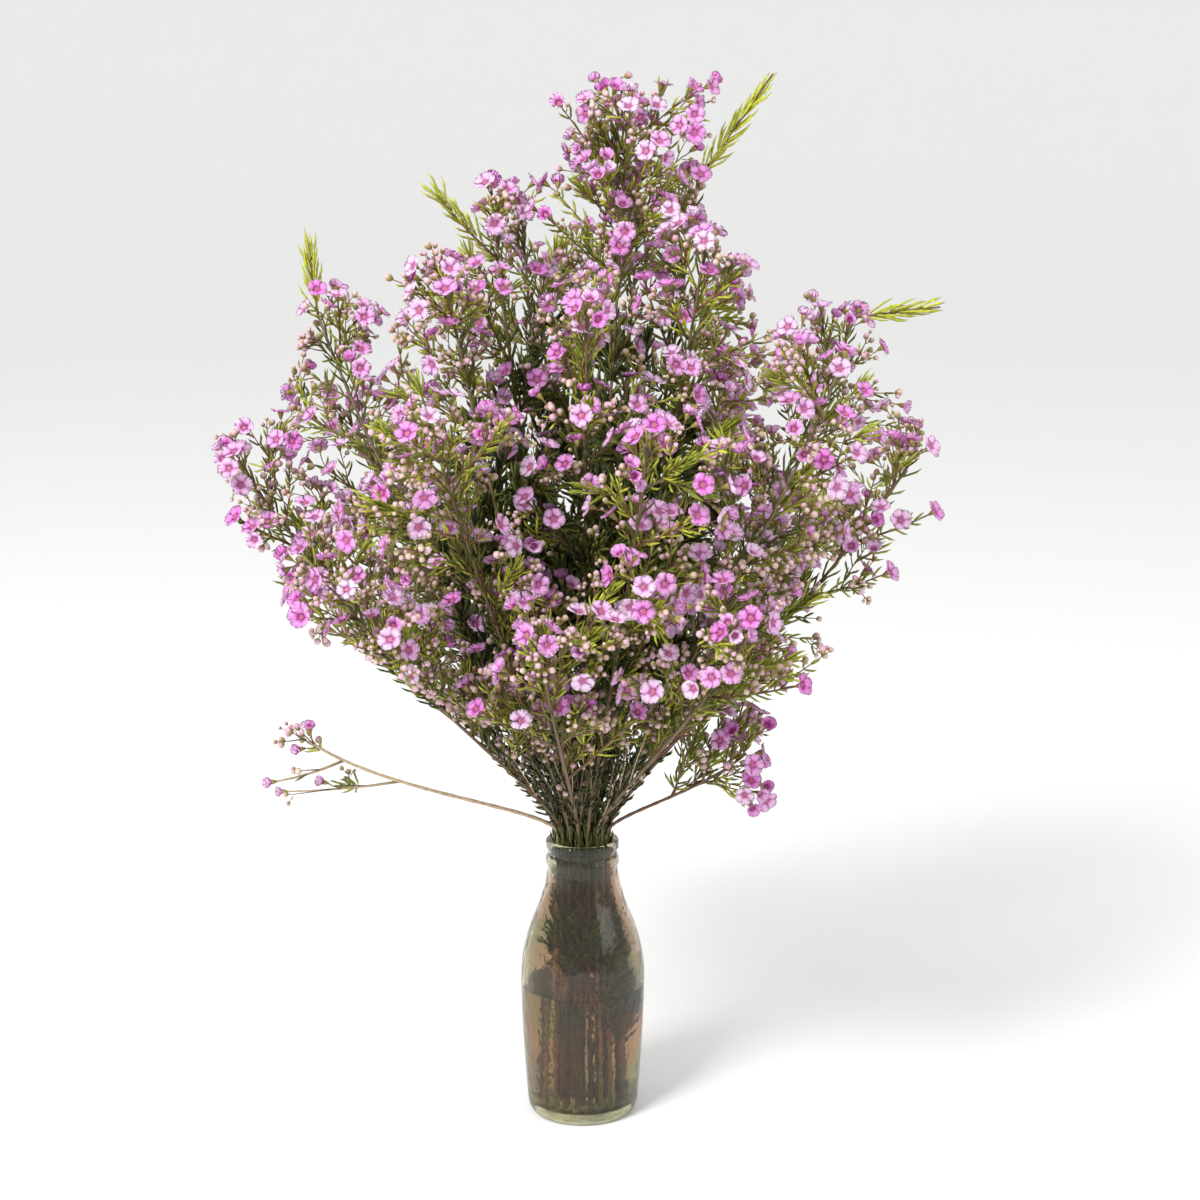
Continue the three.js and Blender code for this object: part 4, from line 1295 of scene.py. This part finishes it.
def stand_up(local, flowers):
    """Shapes round Z (flowers, ..., 3), sized, turned to face each flower's way and moved to its middle."""
    side, over = across(flowers["direction"])
    axes = np.stack([side, over, flowers["direction"]], 1)
    flat = local.reshape(len(axes), -1, 3) * (flowers["size"] / FLOWER_RADIUS)[:, None, None]
    return (flat @ axes + flowers["middle"][:, None]).reshape(local.shape)


def stand_alike(shape, flowers):
    """The same shape for each flower, stood up."""
    return stand_up(np.broadcast_to(shape, (len(flowers["size"]), *shape.shape)), flowers)


def flower_layers(flowers, rng):
    """A stem's open flowers in three layers: their petals, their calyx cups, and their stamens and styles."""
    count = len(flowers["size"])
    tint = rng.beta(1.2, 1.3, count)
    petals = stand_up(petal_shapes(flowers, rng), flowers).reshape(count * PETALS, 16, 3)
    petal_tint = np.clip(np.repeat(tint, PETALS) + rng.uniform(-0.1, 0.1, count * PETALS), 0, 1)
    cups = stand_alike(turned(CUP_PROFILE, CUP_SIDES), flowers)
    lean = np.stack([np.cos(turns(STAMENS)), np.sin(turns(STAMENS)), np.zeros(STAMENS)], -1)
    root = np.vstack([lean * STAMEN_RING + UP * 0.3, UP[None] * 0.2])
    tip = np.vstack([lean * STAMEN_TIPS + UP * STAMEN_TIPS, UP[None] * STYLE_HEIGHT])
    spikes = np.concatenate([root[:, None] + 0.2 * lean[::2], tip[:, None]], 1)
    stamens = stand_alike(spikes, flowers).reshape(-1, 4, 3)
    spike_faces = np.array([(0, 2, 1), (0, 1, 3), (1, 2, 3), (2, 0, 3)])
    spike_places = np.where(spike_faces == 3, 1.0, 0.0)[..., None] * (1.0, 0.0)
    return [
        layer(petals, *petal_faces(), petal_material, petal_tint),
        layer(cups, *skin(len(CUP_PROFILE) - 2, CUP_SIDES), cup_material, tint),
        layer(stamens, [spike_faces], [spike_places], stamen_material),
    ]


def two_tone(tree, dark, light):
    """Two colour ramps along the piece, mixed by its tint."""
    shade = add_node(tree, "Mix", data_type="RGBA")
    chain(tree, tint_of(tree), "Fac > Factor", shade)
    chain(tree, along_ramp(tree, dark), "Color > A", shade)
    chain(tree, along_ramp(tree, light), "Color > B", shade)
    return shade


def mauve_petal():
    """A waxy petal: deep magenta at its foot, then mauve, and paler at the rim, lighter or darker by the
    tint, with fine veins along it."""
    flesh = {"Subsurface_Weight": 0.25, "Subsurface_Radius": (1.0, 0.35, 0.8), "Subsurface_Scale": 0.0015}
    material, tree, shader = new_material("mauve_petal", Roughness=0.45, **flesh)
    place = add_node(tree, "UVMap", uv_map="along_and_round")
    stretch = add_node(tree, "Mapping", Scale=(1.5, 22, 1))
    veins = add_node(tree, "TexNoise", Scale=1, Detail=2)
    dark = add_node(tree, "MapRange", From_Min=0.52, From_Max=0.7, To_Max=0.24)
    veined = add_node(tree, "Mix", data_type="RGBA", B=(0.5, 0.05, 0.34))
    bump = add_node(tree, "Bump", Strength=0.5, Distance=0.0002)
    chain(tree, place, "UV > Vector", stretch, "Vector > Vector", veins)
    chain(tree, veins, "Fac > Value", dark, "Result > Factor", veined)
    chain(tree, two_tone(tree, DEEP_PETAL, LIGHT_PETAL), "Result > A", veined, "Result > Base Color", shader)
    chain(tree, veins, "Fac > Height", bump, "Normal > Normal", shader)
    return material


def along_material(name, stops, spot_colour):
    """A material whose colour runs along the piece's U by a ramp, with faint blotches."""
    material, tree, shader = new_material(name, Roughness=0.5)
    mottled(tree, shader, along_ramp(tree, stops).outputs["Color"], spot_colour, 500, 0.35, 0.00015)
    return material


petal_material = mauve_petal()
cup_material = along_material("calyx_cup", CUP_COLOURS, (0.3, 0.05, 0.06))
stamen_material = along_material("stamens", STAMEN_COLOURS, (0.8, 0.6, 0.4))

# ---- Buds ----------------------------------------------------------------------------------------
# Round buds in the size of small peas or less: a green calyx below, and folded petals above it that are
# cream while they are young, and pink before they open.

BUD_SIDES = 5
BUD_PROFILE = np.array([(0, -1.3), (0.72, -0.8), (1.0, 0.1), (0.68, 0.76), (0, 1)])
CREAM_BUD = [
    (0.0, (0.15, 0.17, 0.03)),
    (0.42, (0.28, 0.29, 0.06)),
    (0.54, (0.42, 0.38, 0.18)),
    (0.7, (0.58, 0.48, 0.34)),
    (1.0, (0.7, 0.5, 0.5)),
]
PINK_BUD = [
    (0.0, (0.17, 0.17, 0.04)),
    (0.42, (0.32, 0.22, 0.08)),
    (0.54, (0.46, 0.26, 0.3)),
    (0.7, (0.6, 0.38, 0.5)),
    (1.0, (0.62, 0.34, 0.54)),
]


def flower_bud():
    """Green to its rim, and above it cream or pink by the tint."""
    flesh = {"Subsurface_Weight": 0.2, "Subsurface_Radius": (1.0, 0.5, 0.6), "Subsurface_Scale": 0.0012}
    material, tree, shader = new_material("flower_bud", Roughness=0.4, **flesh)
    shade = two_tone(tree, CREAM_BUD, PINK_BUD)
    mottled(tree, shader, shade.outputs["Result"], (0.6, 0.3, 0.35), 450, 0.3, 0.00012)
    return material


bud_material = flower_bud()


def bud_layer(buds, rng):
    """Turned bodies, each sized to its bud and set along its stalk."""
    sized = {**buds, "size": buds["size"] * FLOWER_RADIUS}
    points = stand_alike(turned(BUD_PROFILE, BUD_SIDES), sized)
    tint = rng.beta(1.6, 1.1, len(points))
    return layer(points, *skin(len(BUD_PROFILE) - 2, BUD_SIDES), bud_material, tint)


# ---- The stems' pieces ---------------------------------------------------------------------------
# Each cut stem is one plant with all that grows on it. It is made as two pieces, its wood with the leaves,
# and its flowers with the buds, which together stand for the stem's node.

LOOK_SEED = 7 * SEED
FLOWER_FACTS = ("middle", "direction", "size", "spin", "closed")
LEAF_FACTS = ("root", "direction", "length", "away", "bright")


def gathered(items, facts):
    """The facts of many things, as one array for each fact."""
    return {fact: np.array([item[fact] for item in items]) for fact in facts}


all_blooms = gathered([flower for stem in stems for flower in stem["flowers"]], FLOWER_FACTS)

for stem in stems:
    name = f"stem_{stem['number'] + 1:02d}"
    rng = np.random.default_rng(LOOK_SEED + stem["number"])
    leaves = keep_leaves(leaves_of(stem, rng), all_blooms, stem["sprig"])
    if stem["needles"]:
        own = gathered(stem["needles"], LEAF_FACTS)
        own["root"] = np.array([on_its_twig(needle) for needle in stem["needles"]])
        leaves = {fact: np.concatenate([own[fact], leaves[fact]]) for fact in LEAF_FACTS}
    brightness = np.clip(leaves["bright"], 0, 1)
    leaf_layer = layer(needle_shapes(leaves), *skin(len(LEAF_STEPS), 3), leaf, brightness)
    main = [twig for twig in stem["twigs"] if twig["radius"] == TWIG_RADIUS]
    fine = [twig for twig in stem["twigs"] if twig["radius"] < TWIG_RADIUS]
    stalked = [flower for flower in stem["flowers"] if not flower["ends_twig"]]
    wood = [
        stem_wood(stem, rng),
        twig_wood(stem, rng, main, TWIG_RINGS, TWIG_SIDES),
        twig_wood(stem, rng, fine, BRANCHLET_RINGS, BRANCHLET_SIDES),
        stalk_wood(stalked, FLOWER_DEPTH, False, rng),
        stalk_wood(stem["buds"], BUD_DEPTH, True, rng),
    ]
    make_piece(name + "_twigs", [*wood, leaf_layer], "flowering_stem", name)
    buds = bud_layer(gathered(stem["buds"], ("middle", "direction", "size")), rng)
    blooms = flower_layers(gathered(stem["flowers"], FLOWER_FACTS), rng)
    make_piece(name + "_blooms", [*blooms, buds], "flowering_stem", name)

# ---- The floor -----------------------------------------------------------------------------------
# A plain pale studio floor that curves up all round, far off, so that no horizon shows behind the bunch.

FLAT_RADIUS = 5.0
WALL_RADIUS = 9.0
WALL_HEIGHT = 6.0
FLOOR_SIDES = 64


def pale_floor():
    """Pale grey-white, with the faintest unevenness in its roughness."""
    material, tree, shader = new_material("pale_floor", Base_Color=(0.93, 0.93, 0.925))
    noise = add_node(tree, "TexNoise", Scale=3)
    uneven = add_node(tree, "MapRange", To_Min=0.75, To_Max=0.9)
    chain(tree, add_node(tree, "TexCoord"), "Object > Vector", noise, "Fac > Value", uneven)
    chain(tree, uneven, "Result > Roughness", shader)
    return material


def studio_bowl():
    """The floor's mesh: a disc of triangles, and rings that curve up from it to the wall's top. It is a
    turned body without its upper pole, and its faces look inwards."""
    curve = bezier([(FLAT_RADIUS, 0), (WALL_RADIUS, 0), (WALL_RADIUS, WALL_HEIGHT)], 14)
    points = turned(np.vstack([[(0, 0)], curve, [(0, WALL_HEIGHT)]]), FLOOR_SIDES)[:-1]
    rings, disc = (np.roll(faces[:, ::-1], 1, 1).tolist() for faces in skin(len(curve), FLOOR_SIDES)[0][:2])
    mesh = bpy.data.meshes.new("studio_floor")
    mesh.from_pydata(points.tolist(), [], disc + rings)
    mesh.shade_smooth()
    mesh.materials.append(pale_floor())
    return mesh


studio_floor = bpy.data.objects.new("studio_floor", studio_bowl())
bpy.context.scene.collection.objects.link(studio_floor)

# ---- Light and camera ----------------------------------------------------------------------------
# A pale surround, a large soft key light high on the left in front, and a weaker one on the right.

VIEW_TARGET = (0.0129, 0.0, 0.388)
VIEW_DISTANCE = 1.8
VIEW_ELEVATION = math.radians(12.5)
SURROUND = 0.86

world = bpy.data.worlds.new("studio")
bpy.context.scene.world = world
world.use_nodes = True
set_up(world.node_tree.nodes["Background"], {"Color": (1, 1, 1), "Strength": SURROUND})


def look_along(thing, place, direction):
    """Puts a lamp or a camera in its place, and turns it to look along a direction."""
    bpy.context.scene.collection.objects.link(thing)
    thing.location = place
    thing.rotation_mode = "QUATERNION"
    thing.rotation_quaternion = Vector(direction).to_track_quat("-Z", "Y")


def soft_light(name, place, aim, size, power):
    """A square area light that looks from its place at a point."""
    light = bpy.data.lights.new(name, "AREA")
    light.shape, light.size, light.energy = "SQUARE", size, power
    look_along(bpy.data.objects.new(name, light), place, [to - at for to, at in zip(aim, place)])


soft_light("key_light", (-1.3, -1.7, 2.3), (0, 0, 0.45), 0.9, 78)
soft_light("fill_light", (2.0, -1.2, 1.3), (0, 0, 0.4), 1.6, 12)

lens = bpy.data.cameras.new("camera")
lens.sensor_width, lens.lens = 36, 75.33
camera = bpy.data.objects.new("camera", lens)
back_off = Vector((0, -math.cos(VIEW_ELEVATION), math.sin(VIEW_ELEVATION)))
look_along(camera, Vector(VIEW_TARGET) + back_off * VIEW_DISTANCE, -back_off)
bpy.context.scene.camera = camera
bpy.context.scene.view_settings.view_transform = "Standard"
